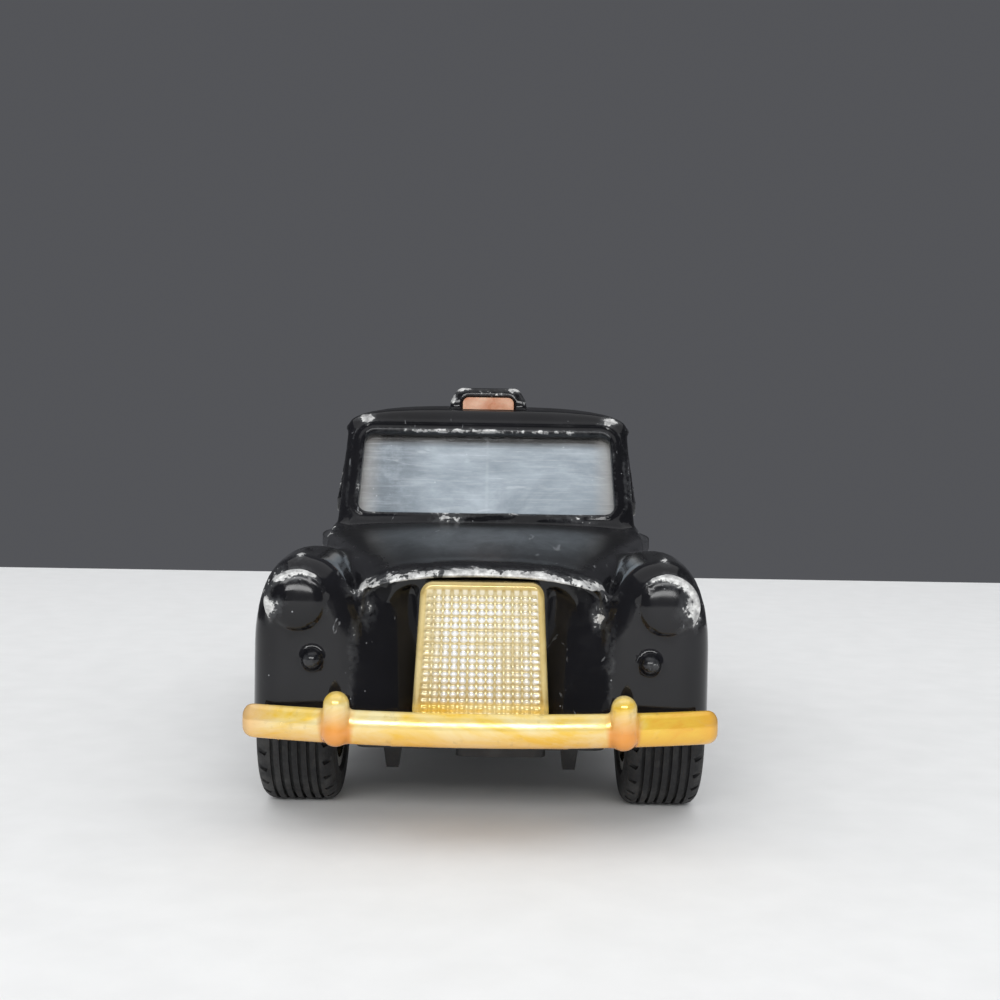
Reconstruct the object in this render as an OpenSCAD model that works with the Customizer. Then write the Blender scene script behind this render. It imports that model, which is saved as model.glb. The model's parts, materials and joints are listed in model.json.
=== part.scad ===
// Die-cast toy taxi. A hollow cast body sits on a moulded base and is held by two
// rivets. Four wheels run free on two axles, and both rear doors swing on pins set
// near their back edge. The front faces -Y, the ground is z = 0, sizes are in mm.

/* [Overall] */
// Length over both bumpers
overall_l = 121; // [112:0.5:132]
// Width over the front wings
body_w = 46.4; // [44.6:0.2:51]
// Height of the roof crown above the ground
roof_h = 43.8; // [42:0.2:47.6]
// Distance between the axles
wheelbase = 75; // [71:0.5:81]
// Front bumper face to the front axle
front_overhang = 20; // [19:0.5:22]

/* [Cast body] */
// Wall of the casting
wall = 1.5; // [1.2:0.05:1.7]
// Lower edge of the sills above the ground
sill_h = 7.5; // [6.8:0.1:8]
// Waistline above the ground
belt_h = 28.8; // [27.4:0.2:30]
// Sill side inside the wing side
sill_inset = 2; // [1.5:0.1:2.6]
// Waistline side inside the wing side
belt_inset = 3.8; // [3.3:0.1:4.2]
// Outward bow of the body side between sill and waistline
side_bow = 0.25; // [0:0.05:0.4]
// Wing front behind the bumper face
nose_set = 4.8; // [4.7:0.1:5.4]
// Tail panel ahead of the rear bumper face
tail_set = 3.5; // [3:0.1:4.2]

/* [Cab] */
// Ledge between the waistline and the cab side
belt_step = 0.6; // [0.3:0.05:0.9]
// Inward lean of the cab side from waistline to roof rail
tumblehome = 1.4; // [1:0.1:1.8]
// Roof crown above the roof rail
roof_rise = 3.8; // [3.2:0.1:4.6]
// Foot of the windscreen behind the front bumper face
windscreen_set = 39; // [38:0.5:41]
// Top of the windscreen behind its foot
windscreen_lean = 5.2; // [4:0.2:6.4]
// Foot of the rear window behind the rear axle
rear_window_set = 8.5; // [7:0.5:10]
// Top of the rear window ahead of its foot
rear_window_lean = 7; // [5.6:0.2:8.4]
// Width of the post beside the foot of the windscreen
pillar_w = 2.46; // [2.2:0.02:4]
// Height of the windscreen opening along its slope
windscreen_h = 10.7; // [9.4:0.1:10.9]
// Width of the rear window opening
rear_window_w = 22; // [18:0.5:26]
// Height of the rear window opening along its slope
rear_window_h = 8; // [6.5:0.1:8.6]
// Corner radius of all window openings
window_r = 1.25; // [0.8:0.05:1.6]

/* [Bonnet] */
// Crown of the bonnet lip above the ground
lip_h = 25.5; // [25.4:0.1:26]
// Crown of the bonnet at the scuttle
cowl_h = 28.6; // [27.6:0.1:29]
// Fall of the lip from its crown to its ends
lip_fall = 2.6; // [2:0.1:3]
// Fall of the scuttle from its crown to its ends
cowl_fall = 1.6; // [1.2:0.1:2.4]
// Scuttle end inside the wing side
cowl_inset = 3; // [2.4:0.1:3.6]

/* [Wings] */
// Crest of the front wings above the ground
wing_h = 26.8; // [26:0.1:27.6]
// Lower edge of the front wings above the ground
wing_foot = 9.8; // [9.2:0.1:10.2]
// Crest and headlamp centre inside the wing side
crest_inset = 5.5; // [5.2:0.1:6]
// Inner side of the front wings from their crest
wing_in = 6; // [5.6:0.1:6.2]
// Crest of the rear wings above the ground
rear_wing_h = 22.6; // [21:0.2:24]
// Radius of the wing's front edge
wing_edge_r = 2.6; // [2:0.1:3]
// Gap from the tyre tread to the wheel arch
arch_gap = 1.4; // [1.1:0.1:1.8]

/* [Lamps and sign] */
// Headlamp radius
lamp_r = 2.65; // [2.3:0.05:2.9]
// Headlamp centre above the ground
lamp_h = 22.2; // [21.8:0.1:23]
// Side lamp radius
side_lamp_r = 1.05; // [0.8:0.05:1.3]
// Side lamp centre above the ground
side_lamp_h = 16.8; // [15.8:0.1:17.8]
// Side lamp centre inside the crest
side_lamp_in = 1.5; // [0.9:0.1:2.1]
// Width of the roof sign at its foot
sign_w = 9.6; // [8.4:0.1:11]
// Length of the roof sign along the car
sign_l = 4; // [3.2:0.1:5]
// Top of the roof sign above the roof crown
sign_rise = 1.7; // [1.4:0.1:2.2]

/* [Doors] */
// Length of the rear door opening
door_l = 21.2; // [20:0.2:22.4]
// Lower edge of the door opening above the ground
door_foot = 9.9; // [9.6:0.1:10.6]
// Thickness of a door
door_t = 1.5; // [1.3:0.05:1.7]
// Gap round the front, top and foot of a door
door_gap = 0.3; // [0.25:0.05:0.4]
// Gap behind the hinged edge of a door
hinge_gap = 0.45; // [0.42:0.01:0.6]
// Hinge axis ahead of the hinged edge
hinge_set = 3; // [2.8:0.1:3.4]
// Hinge axis inside the door skin
hinge_depth = 0.8; // [0.75:0.01:0.85]
// Radius of the hinge pins
hinge_pin_r = 0.5; // [0.4:0.02:0.52]
// Width of the frame round a door window
door_frame = 1.9; // [1.6:0.1:2.4]

/* [Wheels] */
// Tyre diameter
tyre_d = 18.5; // [17.6:0.1:19]
// Tyre width
tyre_w = 7.9; // [7.2:0.1:8.1]
// Tyre side inside the wing side
tyre_inset = 0.5; // [0.4:0.05:0.9]
// Diameter of the rim under the tyre
rim_d = 11.8; // [10.6:0.1:12.6]
// Radius of the shoulder of the tread
shoulder_r = 1.2; // [0.9:0.1:1.4]
// Grooves round the tread
tread_grooves = 6; // [3:1:7]
// Notches round each shoulder
shoulder_notches = 28; // [16:1:32]
// Axle radius
axle_r = 1; // [0.8:0.05:1.15]
// Radius of the headed axle ends
axle_head_r = 1.65; // [1.5:0.05:1.8]

/* [Base] */
// Underside of the base above the ground
base_h = 7.4; // [7:0.1:7.8]
// Thickness of the base
base_t = 1.6; // [1.4:0.05:1.8]
// Gap from the tyres to the base between them
spine_gap = 2.4; // [2.2:0.1:2.8]
// Depth of the sump pan under the base
pan_drop = 0.8; // [0.5:0.1:1.2]
// Depth of the two axle lugs under the base
lug_drop = 3.4; // [2.4:0.1:4]
// Radius of the posts that take the rivets
post_r = 2.6; // [2.3:0.1:2.9]
// Radius of the rivet shank
rivet_r = 1.2; // [1:0.05:1.4]

/* [Bumpers and grille] */
// Height of a bumper blade
blade_h = 3.6; // [3.2:0.1:4]
// Thickness of a bumper blade
blade_t = 1.5; // [1.3:0.1:1.7]
// Lower edge of the front blade above the ground
blade_z = 9.1; // [8.9:0.1:9.4]
// Bumper end inside the wing side
blade_inset = 0.4; // [0.2:0.1:1]
// Radius of the bow of the blades seen from above
bow_r = 68; // [66:1:84]
// Overrider centre from the middle of the car
overrider_x = 13.5; // [12.6:0.1:14.4]
// Overrider radius
overrider_r = 1.35; // [1.1:0.05:1.5]
// Top of the overriders above the blade
overrider_rise = 1.7; // [1.3:0.1:2.2]
// Width of the grille at its foot
grille_w = 13.1; // [12:0.1:13.6]
// Width of the grille at its head
grille_head_w = 11.9; // [11:0.1:12.4]
// Head of the grille above the ground
grille_h = 24.5; // [24:0.1:24.6]
// Columns of grille cells
grille_cols = 13; // [9:1:14]
// Rows of grille cells
grille_rows = 17; // [11:1:18]
// Frame round the grille cells
grille_frame = 0.65; // [0.5:0.05:0.9]
// Width of the cuts between grille cells
cell_cut = 0.28; // [0.2:0.02:0.34]
// Depth of the cuts between grille cells
cell_depth = 0.5; // [0.3:0.05:0.7]

/* [Glazing and cabin] */
// Thickness of the window panes
glass_t = 0.9; // [0.7:0.05:1]
// Thickness of the cabin floor
floor_t = 1.2; // [1:0.1:1.4]
// Radius of the steering wheel rim
steer_r = 3.3; // [2.9:0.1:3.6]
// Driver's seat centre from the middle of the car
driver_x = 8; // [7:0.1:8.6]

/* [Hidden] */

// Clearances, overrun of cuts and facet counts
over = 1;
seat_gap = 0.1;
side_gap = 0.3;
running_gap = 0.05;
round_fn = 48;
hull_fn = 24;
small_fn = 16;
bead_fn = 8;

// Places along the car
front_y = -overall_l / 2;
back_y = overall_l / 2;
nose_y = front_y + nose_set;
tail_y = back_y - tail_set;
front_axle_y = front_y + front_overhang;
rear_axle_y = front_axle_y + wheelbase;
windscreen_y = front_y + windscreen_set;
rear_window_y = rear_axle_y + rear_window_set;
arch_r = tyre_d / 2 + arch_gap;
axle_z = tyre_d / 2;
base_top = base_h + base_t;

// Bumper tabs, gripped between the base and the casting
tab_w = 5;
tab_x = 6;
tab_grip = 3;
tab_t = 1.1;

// Half widths and heights of the body side
half_w = body_w / 2;
sill_half = half_w - sill_inset;
belt_half = half_w - belt_inset;
cab_half = belt_half - belt_step;
rail_half = cab_half - tumblehome;
rail_h = roof_h - roof_rise;
cab_rise = rail_h - belt_h;
shoulder_share = 0.975;
belt_edge_h = belt_h * shoulder_share;
crest_x = half_w - crest_inset;

// Rear door opening and its hinge
door_arch_gap = 0.35;
door_back_y = rear_axle_y - arch_r - door_arch_gap;
door_front_y = door_back_y - door_l;
door_head = rail_h - door_gap;
door_corner_r = 0.9;
hinge_y = door_back_y - hinge_gap - hinge_set;
hinge_foot_x = side_x(door_foot) - hinge_depth;
hinge_head_x = side_x(door_head) - hinge_depth;
hinge_tilt = atan((hinge_foot_x - hinge_head_x) / (door_head - door_foot));
hinge_len = (door_head - door_foot) / cos(hinge_tilt);
hinge_grip = 1.3;
knuckle_r = 1.15;
knuckle_l = 3.2;

// Wheel and axle places
tyre_x = half_w - tyre_inset - tyre_w / 2;
spine_half = tyre_x - tyre_w / 2 - spine_gap;
hub_set = 0.7;
hub_face = tyre_w / 2 - hub_set;

// Tables of [place, size] pairs. Places run from 0 at the front of a form to 1 at
// its back. Sizes are shares of the size that each table follows.
cab_belt_ends_shares = [0.957, 0.95];
cab_rail_ends_shares = [1, 0.94];
windscreen_w = 2 * (cab_half * cab_belt_ends_shares[0] - pillar_w);
roof_line_shares = [[0, 0.973], [0.12, 0.988], [0.38, 1], [0.72, 0.99], [0.9, 0.966], [1, 0.945]];
tub_width_shares = [[0, 0.95], [0.3, 1], [0.62, 1], [0.8, 0.97], [0.92, 0.9], [1, 0.8]];
tub_top_shares = [[0, 0.945], [0.05, 1], [0.82, 1], [0.89, 0.95], [0.95, 0.84], [1, 0.66]];
tub_edge_shares = [[0, 0.92], [0.05, 0.975], [0.78, 0.975], [0.88, 0.86], [1, 0.5]];
bonnet_width_shares = [[0, 0.55], [0.2, 0.65], [0.55, 0.81], [1, 1]];
bonnet_line_shares = [[0, 0], [0.08, 0.22], [0.3, 0.56], [0.65, 0.85], [1, 1]];
wing_side_shares = [[0, 0.94], [0.14, 0.978], [0.28, 1], [0.55, 1], [0.82, 0.95], [1, 0.9]];
wing_top_shares = [[0, 0.99], [0.1, 1], [0.35, 0.995], [0.62, 0.88], [0.84, 0.68], [1, 0.52]];
wing_in_shares = [[0, 1], [0.3, 1], [1, 0.6]];
wing_foot_shares = [[0, 0], [0.3, 0], [0.5, 1], [1, 1]];
wing_shoulder_share = 0.66;
rear_side_shares = [[0, 0.92], [0.18, 0.975], [0.4, 0.998], [0.7, 0.97], [1, 0.79]];
rear_top_shares = [[0, 0.66], [0.2, 0.92], [0.38, 1], [0.7, 0.94], [1, 0.7]];
rear_in_share = 0.3;

// Bluntness of the rounded forms: 2 is an ellipse, more is squarer
roof_blunt = 3.4;
tub_blunt = 2.6;
bonnet_blunt = 2.3;
wing_blunt = 2.25;

// Value of a table at a place, eased from knot to knot
function mix(a, b, u) = a + (b - a) * u;
function span(t, x, i = 0) = i >= len(t) - 2 || x <= t[i + 1][0] ? i : span(t, x, i + 1);
function within(u) = max(0, min(1, u));
function eased(t, x) =
    let (i = span(t, x), u = within((x - t[i][0]) / (t[i + 1][0] - t[i][0])))
    mix(t[i][1], t[i + 1][1], u * u * (3 - 2 * u));

// Value of a table at a place, on a smooth curve through its knots
function rise(t, i, j) = (t[j][1] - t[i][1]) / (t[j][0] - t[i][0]);
function knot_slope(t, i) = rise(t, max(0, i - 1), min(len(t) - 1, i + 1));
function curved(t, x) =
    let (i = span(t, x), h = t[i + 1][0] - t[i][0], u = within((x - t[i][0]) / h))
    let (a = knot_slope(t, i) * h, b = knot_slope(t, i + 1) * h)
    mix(t[i][1], t[i + 1][1], u * u * (3 - 2 * u)) + a * u * (1 - u) * (1 - u) - b * u * u * (1 - u);

// How far a section shrinks at a distance from a rounded end
function end_round(d, r) = d >= r ? 0 : r - sqrt(r * r - (r - d) * (r - d));

// Half section: a bowed side from foot to shoulder, then a blunt quarter to the top
function half_arch(w0, w1, z0, z1, zt, blunt, bow, steps) = concat(
    [for (k = [0:steps[0]]) let (u = k / steps[0])
        [mix(w0, w1, u) + 4 * bow * u * (1 - u), mix(z0, z1, u)]],
    [for (k = [1:steps[1]]) let (a = 90 * k / steps[1])
        [w1 * pow(cos(a), 2 / blunt), mix(z1, zt, pow(sin(a), 2 / blunt))]]
);

// Full section ring from the outer half and a width share for the inner half
function ring(half, in_share, x, y, lean, z_ref) = [
    for (p = concat(half, [for (k = [len(half) - 2:-1:0]) [-half[k][0] * in_share, half[k][1]]]))
    [x + p[0], y + lean * (p[1] - z_ref), p[1]]
];

// Places along a form, closer together towards its ends
function stations(n) = [for (k = [0:n]) (1 - cos(180 * k / n)) / 2];

// Steps of a section and of a form, coarser for the hollow inside
function section_steps(inset) = inset > 0 ? [1, 4] : [3, 7];
function form_steps(inset, n) = inset > 0 ? ceil(n / 2) : n;

// Body side half width at a height: lower body, then cab
function side_x(z) = z <= belt_h
    ? let (u = (z - sill_h) / (belt_edge_h - sill_h))
        mix(sill_half, belt_half, u) + 4 * side_bow * u * (1 - u)
    : mix(cab_half, rail_half, (z - belt_h) / cab_rise);

// Closed solid through a list of equal rings
module skin(rings) {
    n = len(rings[0]);
    m = len(rings);
    polyhedron(
        points = [for (r = rings) each r],
        faces = concat(
            [[for (k = [n - 1:-1:0]) k]],
            [[for (k = [0:n - 1]) (m - 1) * n + k]],
            [for (j = [0:m - 2], k = [0:n - 1]) let (q = (k + 1) % n)
                [j * n + k, j * n + q, (j + 1) * n + q]],
            [for (j = [0:m - 2], k = [0:n - 1]) let (q = (k + 1) % n)
                [j * n + k, (j + 1) * n + q, (j + 1) * n + k]]
        )
    );
}

// Shapes that repeat
module both_sides() {
    children();
    mirror([1, 0, 0]) children();
}

module along_x(x) {
    translate([x, 0, 0]) rotate([90, 0, 90]) children();
}

// Rounded rectangle from corner a to corner b
module rounded(a, b, r) {
    translate([a[0] + r, a[1]]) square([b[0] - a[0] - 2 * r, b[1] - a[1]]);
    translate([a[0], a[1] + r]) square([b[0] - a[0], b[1] - a[1] - 2 * r]);
    for (x = [a[0] + r, b[0] - r], y = [a[1] + r, b[1] - r]) {
        translate([x, y]) circle(r, $fn = hull_fn);
    }
}

// Window prism with round corners: foot width, head width, two heights, depth
module window_prism(foot_w, head_w, v0, v1, depth) {
    hull() {
        for (s = [-1, 1]) {
            translate([s * (foot_w / 2 - window_r), 0, v0 + window_r]) rotate([-90, 0, 0])
                cylinder(depth, window_r, window_r, $fn = hull_fn);
            translate([s * (head_w / 2 - window_r), 0, v1 - window_r]) rotate([-90, 0, 0])
                cylinder(depth, window_r, window_r, $fn = hull_fn);
        }
    }
}

// Frames of the windscreen and rear window: x across, z up the slope, y inwards
windscreen_rake = atan(windscreen_lean / cab_rise);
rear_rake = atan(rear_window_lean / cab_rise);
module on_windscreen() {
    translate([0, windscreen_y, belt_h]) rotate([-windscreen_rake, 0, 0]) children();
}
module on_rear_window() {
    translate([0, rear_window_y, belt_h]) rotate([rear_rake, 0, 0]) mirror([0, 1, 0]) children();
}

// Main forms of the casting. Each takes an inset, so the hollow inside follows it.
tub_front_set = 4;
tub_end_r = 3;
tub_shoulder = 0.5;
module tub(inset = 0) {
    y0 = windscreen_y - tub_front_set + inset;
    y1 = tail_y - inset;
    foot = inset > 0 ? -over : sill_h;
    skin([for (s = stations(form_steps(inset, 17)))
        let (y = mix(y0, y1, s), cut = inset + end_round(y1 - y, tub_end_r))
        let (w = eased(tub_width_shares, s), top = curved(tub_top_shares, s) * belt_h - cut)
        let (edge = min(eased(tub_edge_shares, s) * belt_h, top - tub_shoulder))
        ring(
            half_arch(sill_half * w - cut, belt_half * w - cut, foot, edge, top,
                tub_blunt, side_bow, section_steps(inset)),
            1, 0, y, 0, 0)]);
}

cab_foot_drop = 2;
roof_shoulder = 1.2;
cab_front_r = 1;
cab_back_r = 2.4;
module cab(inset = 0) {
    y0 = windscreen_y + inset;
    y1 = rear_window_y - inset;
    foot_drop = cab_foot_drop * (inset > 0 ? 2 : 1);
    door0 = (door_front_y - over - y0) / (y1 - y0);
    door1 = (door_back_y + over - y0) / (y1 - y0);
    belt_shares = [[0, cab_belt_ends_shares[0]], [door0, 1], [door1, 1], [1, cab_belt_ends_shares[1]]];
    rail_shares = [[0, cab_rail_ends_shares[0]], [door0, 1], [door1, 1], [1, cab_rail_ends_shares[1]]];
    skin([for (s = stations(form_steps(inset, 15)))
        let (y = mix(y0, y1, s))
        let (edge = end_round(y - y0, cab_front_r) + end_round(y1 - y, cab_back_r))
        let (cut = inset > 0 ? inset : edge)
        let (belt = cab_half * eased(belt_shares, s) - cut)
        let (rail = rail_half * eased(rail_shares, s) - cut)
        let (top = curved(roof_line_shares, s) * roof_h - cut)
        let (lean = mix(windscreen_lean, -rear_window_lean, s) / cab_rise)
        ring(
            half_arch(mix(belt, rail, -foot_drop / cab_rise), rail, belt_h - foot_drop,
                min(rail_h, top - roof_shoulder), top, roof_blunt, 0, section_steps(inset)),
            1, 0, y, lean, belt_h)]);
}

lip_set = 0.3;
bonnet_tail = 3.2;
bonnet_skirt = 2;
bonnet_edge_r = 0.6;
lip_t = 0.75;
module bonnet(inset = 0) {
    y0 = nose_y + lip_set + inset;
    y1 = windscreen_y + bonnet_tail;
    foot_drop = inset > 0 ? cowl_h : bonnet_skirt;
    skin([for (s = stations(form_steps(inset, 12)))
        let (y = mix(y0, y1, s), cut = inset + end_round(y - y0, bonnet_edge_r))
        let (w = bonnet_half(s) - inset, edge = bonnet_edge(s), top = bonnet_top(s) - cut)
        ring(
            half_arch(w, w, edge - foot_drop, edge - cut, top, bonnet_blunt, 0, section_steps(inset)),
            1, 0, y, 0, 0)]);
}

// Recess under the lip for the grille and the panels beside it
function bonnet_top(s) = mix(lip_h, cowl_h, curved(bonnet_line_shares, s));
function bonnet_edge(s) = bonnet_top(s) - mix(lip_fall, cowl_fall, s);
function bonnet_half(s) = (half_w - cowl_inset) * curved(bonnet_width_shares, s);
module under_lip() {
    y0 = nose_y + lip_set;
    y1 = windscreen_y + bonnet_tail;
    skin([for (y = [y0 - nose_set, y0, mix(y0, apron_y, 0.5), apron_y])
        let (s = within((y - y0) / (y1 - y0)))
        ring(
            half_arch(bonnet_half(s), bonnet_half(s), -over, bonnet_edge(s) - lip_t,
                bonnet_top(s) - lip_t, bonnet_blunt, 0, section_steps(0)),
            1, 0, y, 0, 0)]);
}

wing_tail_set = 13.5;
module front_wing(inset = 0) {
    y0 = nose_y + inset;
    y1 = windscreen_y + wing_tail_set;
    skin([for (s = stations(form_steps(inset, 16)))
        let (y = mix(y0, y1, s), cut = inset + end_round(y - y0, wing_edge_r))
        let (out = half_w * min(1, curved(wing_side_shares, s)) - crest_x - cut)
        let (in = wing_in * eased(wing_in_shares, s) - cut)
        let (top = wing_h * curved(wing_top_shares, s) - cut)
        let (foot = inset > 0 ? -over : mix(wing_foot, sill_h, eased(wing_foot_shares, s)))
        ring(
            half_arch(out, out, foot, wing_h * curved(wing_top_shares, s) * wing_shoulder_share, top,
                wing_blunt, 0, section_steps(inset)),
            in / out, crest_x, y, 0, 0)]);
}

rear_wing_inset = 6.2;
rear_wing_crest_x = half_w - rear_wing_inset;
rear_wing_front = 11.2;
rear_wing_gap = 2;
rear_wing_shoulder_share = 0.62;
module rear_wing(inset = 0) {
    y0 = rear_axle_y - rear_wing_front + inset;
    y1 = tail_y - rear_wing_gap - inset;
    skin([for (s = stations(form_steps(inset, 10)))
        let (y = mix(y0, y1, s))
        let (out = half_w * curved(rear_side_shares, s) - rear_wing_crest_x - inset)
        let (top = rear_wing_h * curved(rear_top_shares, s))
        ring(
            half_arch(out, out, inset > 0 ? -over : sill_h, top * rear_wing_shoulder_share, top - inset,
                wing_blunt, 0, section_steps(inset)),
            rear_in_share, rear_wing_crest_x, y, 0, 0)]);
}

module forms(inset = 0) {
    tub(inset);
    cab(inset);
    bonnet(inset);
    both_sides() {
        front_wing(inset);
        rear_wing(inset);
    }
}

// Recessed front panel behind the grille. Its head lies within the lip, its sides within
// the wings.
apron_set = 3.1;
apron_lap = 0.7;
apron_half = crest_x - wing_in + apron_lap;
apron_y = nose_y + apron_set;
apron_foot = base_top + tab_t + 2 * seat_gap;
module apron() {
    s = apron_set / (windscreen_y + bonnet_tail - nose_y);
    skin([for (y = [apron_y, apron_y + wall]) ring(
        half_arch(apron_half, apron_half, apron_foot, bonnet_edge(s) - 2 * lip_t,
            bonnet_top(s) - lip_t / 2, bonnet_blunt, 0, section_steps(0)),
        1, 0, y, 0, 0)]);
}

// Domed headlamp with a brow over its top and outer side, and a bead along the crest
lamp_dome = 0.95;
lamp_depth = 2;
brow_r = 0.42;
brow_gap = 0.25;
brow_turn = -37;
brow_sweep = 197;
bead_r = 0.35;
bead_l = 6;
bead_set = 2.2;
module headlamp() {
    translate([crest_x, nose_y, lamp_h]) rotate([90, 0, 0]) {
        rotate_extrude($fn = hull_fn) polygon(concat(
            [[0, -lamp_depth], [lamp_r, -lamp_depth]],
            [for (a = [0:18:90]) [lamp_r * cos(a), lamp_dome * sin(a)]]
        ));
        rotate([0, 0, brow_turn]) rotate_extrude(angle = brow_sweep, $fn = hull_fn)
            translate([lamp_r + brow_gap, 0]) circle(brow_r, $fn = bead_fn);
    }
}

module crest_bead() {
    hull() {
        translate([crest_x, nose_y + bead_set, wing_h - bead_r]) sphere(bead_r, $fn = bead_fn);
        translate([crest_x, nose_y + bead_set + bead_l, wing_h]) sphere(bead_r, $fn = bead_fn);
    }
}

module side_lamp() {
    translate([crest_x - side_lamp_in, nose_y, side_lamp_h]) sphere(side_lamp_r, $fn = 14);
}

// Tail lamps on the rear wings
tail_lamp_r = 1.25;
tail_lamp_inset = 5.8;
tail_lamp_h = 16.6;
tail_lamp_set = 3.4;
tail_dome_share = 0.8;
module tail_lamp() {
    dome_r = tail_lamp_r * tail_dome_share;
    translate([half_w - tail_lamp_inset, tail_y - tail_lamp_set, tail_lamp_h]) rotate([-90, 0, 0]) hull() {
        cylinder(tail_lamp_set - dome_r, tail_lamp_r, tail_lamp_r, $fn = hull_fn);
        translate([0, 0, tail_lamp_set - tail_lamp_r]) sphere(dome_r, $fn = hull_fn);
    }
}

// Roof sign housing with a window in its front for the lens
sign_head_w = 7.6;
sign_head_l = 2.8;
sign_set = 2.6;
sign_y = windscreen_y + windscreen_lean + sign_set;
sign_foot_z = roof_h - wall;
sign_top = roof_h + sign_rise;
sign_edge_r = 0.5;
lens_w = 6.4;
lens_h = 1.5;
lens_sink_share = 0.7;
lens_z = roof_h - lens_sink_share * wall;
lens_depth = 0.8;
module sign_housing() {
    hull() {
        for (s = [-1, 1], y = [sign_edge_r, sign_l - sign_edge_r]) {
            translate([s * (sign_w / 2 - sign_edge_r), sign_y + y, sign_foot_z])
                cylinder(wall / 2, sign_edge_r, sign_edge_r, $fn = small_fn);
        }
        for (s = [-1, 1], y = [-1, 1]) {
            translate([
                s * (sign_head_w / 2 - sign_edge_r),
                sign_y + sign_l / 2 + y * (sign_head_l / 2 - sign_edge_r),
                sign_top - sign_edge_r
            ]) sphere(sign_edge_r, $fn = small_fn);
        }
    }
}

module lens_outline(grow) {
    r = lens_h / 2;
    translate([-lens_w / 2 - grow, -grow]) square([lens_w + 2 * grow, r + grow]);
    translate([r - lens_w / 2 - grow, -grow]) square([lens_w - 2 * r + 2 * grow, lens_h + 2 * grow]);
    for (s = [-1, 1]) translate([s * (lens_w / 2 - r), r]) circle(r + grow, $fn = hull_fn);
}

module lens_block(grow, depth) {
    translate([0, sign_y + depth, lens_z]) rotate([90, 0, 0])
        linear_extrude(depth + grow) lens_outline(grow);
}

// Wipers and scuttle bead, cast on the body
wiper_r = 0.3;
wiper_l = 8.5;
wiper_x = [-3.2, 8.6];
module wipers() {
    for (x = wiper_x) {
        on_windscreen() hull() {
            translate([x, 0, 0]) sphere(2 * wiper_r, $fn = bead_fn);
            translate([x + wiper_l / 3, -wiper_r, wiper_r]) sphere(wiper_r, $fn = bead_fn);
        }
        on_windscreen() hull() {
            translate([x - wiper_l / 4, -wiper_r, wiper_r]) sphere(wiper_r, $fn = bead_fn);
            translate([x + 3 * wiper_l / 4, -wiper_r, 3 * wiper_r]) sphere(wiper_r, $fn = bead_fn);
        }
    }
}

// Door handles: a bar that stands on the skin at a place along the car
handle_l = 2.8;
handle_r = 0.42;
handle_post_share = 0.8;
handle_z = 25.6;
module handle(y) {
    post_r = handle_r * handle_post_share;
    for (k = [0, 1]) {
        translate([side_x(handle_z), y + k * handle_l, handle_z]) rotate([0, 90, 0])
            cylinder(2 * handle_r, post_r, post_r, center = true, $fn = small_fn);
    }
    translate([side_x(handle_z) + handle_r, y - handle_r, handle_z]) rotate([-90, 0, 0])
        cylinder(handle_l + 2 * handle_r, handle_r, handle_r, $fn = small_fn);
}

// Side window of the front door, and shut lines of that door
window_sill = 1.4;
window_head = 0.9;
b_post = 2.2;
front_window_set = 6.2;
front_window_back = door_front_y - b_post;
module front_door_windows() {
    z0 = belt_h + window_sill + window_r;
    z1 = rail_h - window_head - window_r;
    y0 = windscreen_y + front_window_set;
    lean = windscreen_lean / cab_rise;
    translate([-half_w, 0, 0]) rotate([90, 0, 90]) linear_extrude(body_w) hull() {
        for (p = [
            [y0, z0], [y0 + lean * (z1 - z0), z1],
            [front_window_back - window_r, z1], [front_window_back - window_r, z0]
        ]) translate(p) circle(window_r, $fn = hull_fn);
    }
}

line_w = 0.32;
line_depth = 0.4;
front_door_set = 2.4;
front_door_y = windscreen_y + front_door_set;
front_door_back = door_front_y - b_post / 2;
module shut_lines() {
    difference() {
        along_x(-half_w - over) linear_extrude(body_w + 2 * over) difference() {
            rounded([front_door_y, door_foot], [front_door_back, belt_h + line_w], door_corner_r);
            rounded(
                [front_door_y + line_w, door_foot + line_w],
                [front_door_back - line_w, belt_h + 2 * line_w],
                door_corner_r - line_w
            );
        }
        translate([-half_w + line_w, front_door_y - over, 0])
            cube([body_w - 2 * line_w, over, roof_h]);
        tub(line_depth);
        both_sides() front_wing(line_depth);
    }
}

// Openings cut in the casting
module door_outline(grow) {
    rounded(
        [door_front_y - grow, door_foot - grow], [door_back_y + grow, door_head + grow],
        door_corner_r + grow
    );
}

module openings() {
    on_windscreen() translate([0, -over, 0])
        window_prism(windscreen_w, windscreen_w - tumblehome / 2, window_sill - window_r / 8,
            window_sill - window_r / 8 + windscreen_h, wall + 2 * over);
    on_rear_window() translate([0, -over, 0])
        window_prism(rear_window_w, rear_window_w - tumblehome, 2 * window_sill,
            2 * window_sill + rear_window_h, cab_back_r + wall + over);
    front_door_windows();
    both_sides() along_x(rail_half - 2 * wall) linear_extrude(half_w) door_outline(0);
    for (s = [-1, 1]) {
        translate([s * tab_x - tab_w / 2 - seat_gap, tail_y - 3 * wall, 0])
            cube([tab_w + 2 * seat_gap, 4 * wall, base_top + tab_t + 2 * seat_gap]);
    }
    for (y = [front_axle_y, rear_axle_y]) {
        translate([-body_w, y, axle_z]) rotate([0, 90, 0])
            cylinder(2 * body_w, arch_r, arch_r, $fn = round_fn);
    }
}

// Posts for the rivets, one under the bonnet and one under the boot
front_post_set = 7;
front_post_y = front_axle_y + front_post_set;
rear_post_y = rear_axle_y + rear_window_set + post_r;
module posts() {
    for (p = [[front_post_y, cowl_h - wall], [rear_post_y, belt_h - wall]]) {
        translate([0, p[0], base_top + seat_gap])
            cylinder(p[1] - base_top - seat_gap, post_r, post_r, $fn = hull_fn);
    }
}

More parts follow.
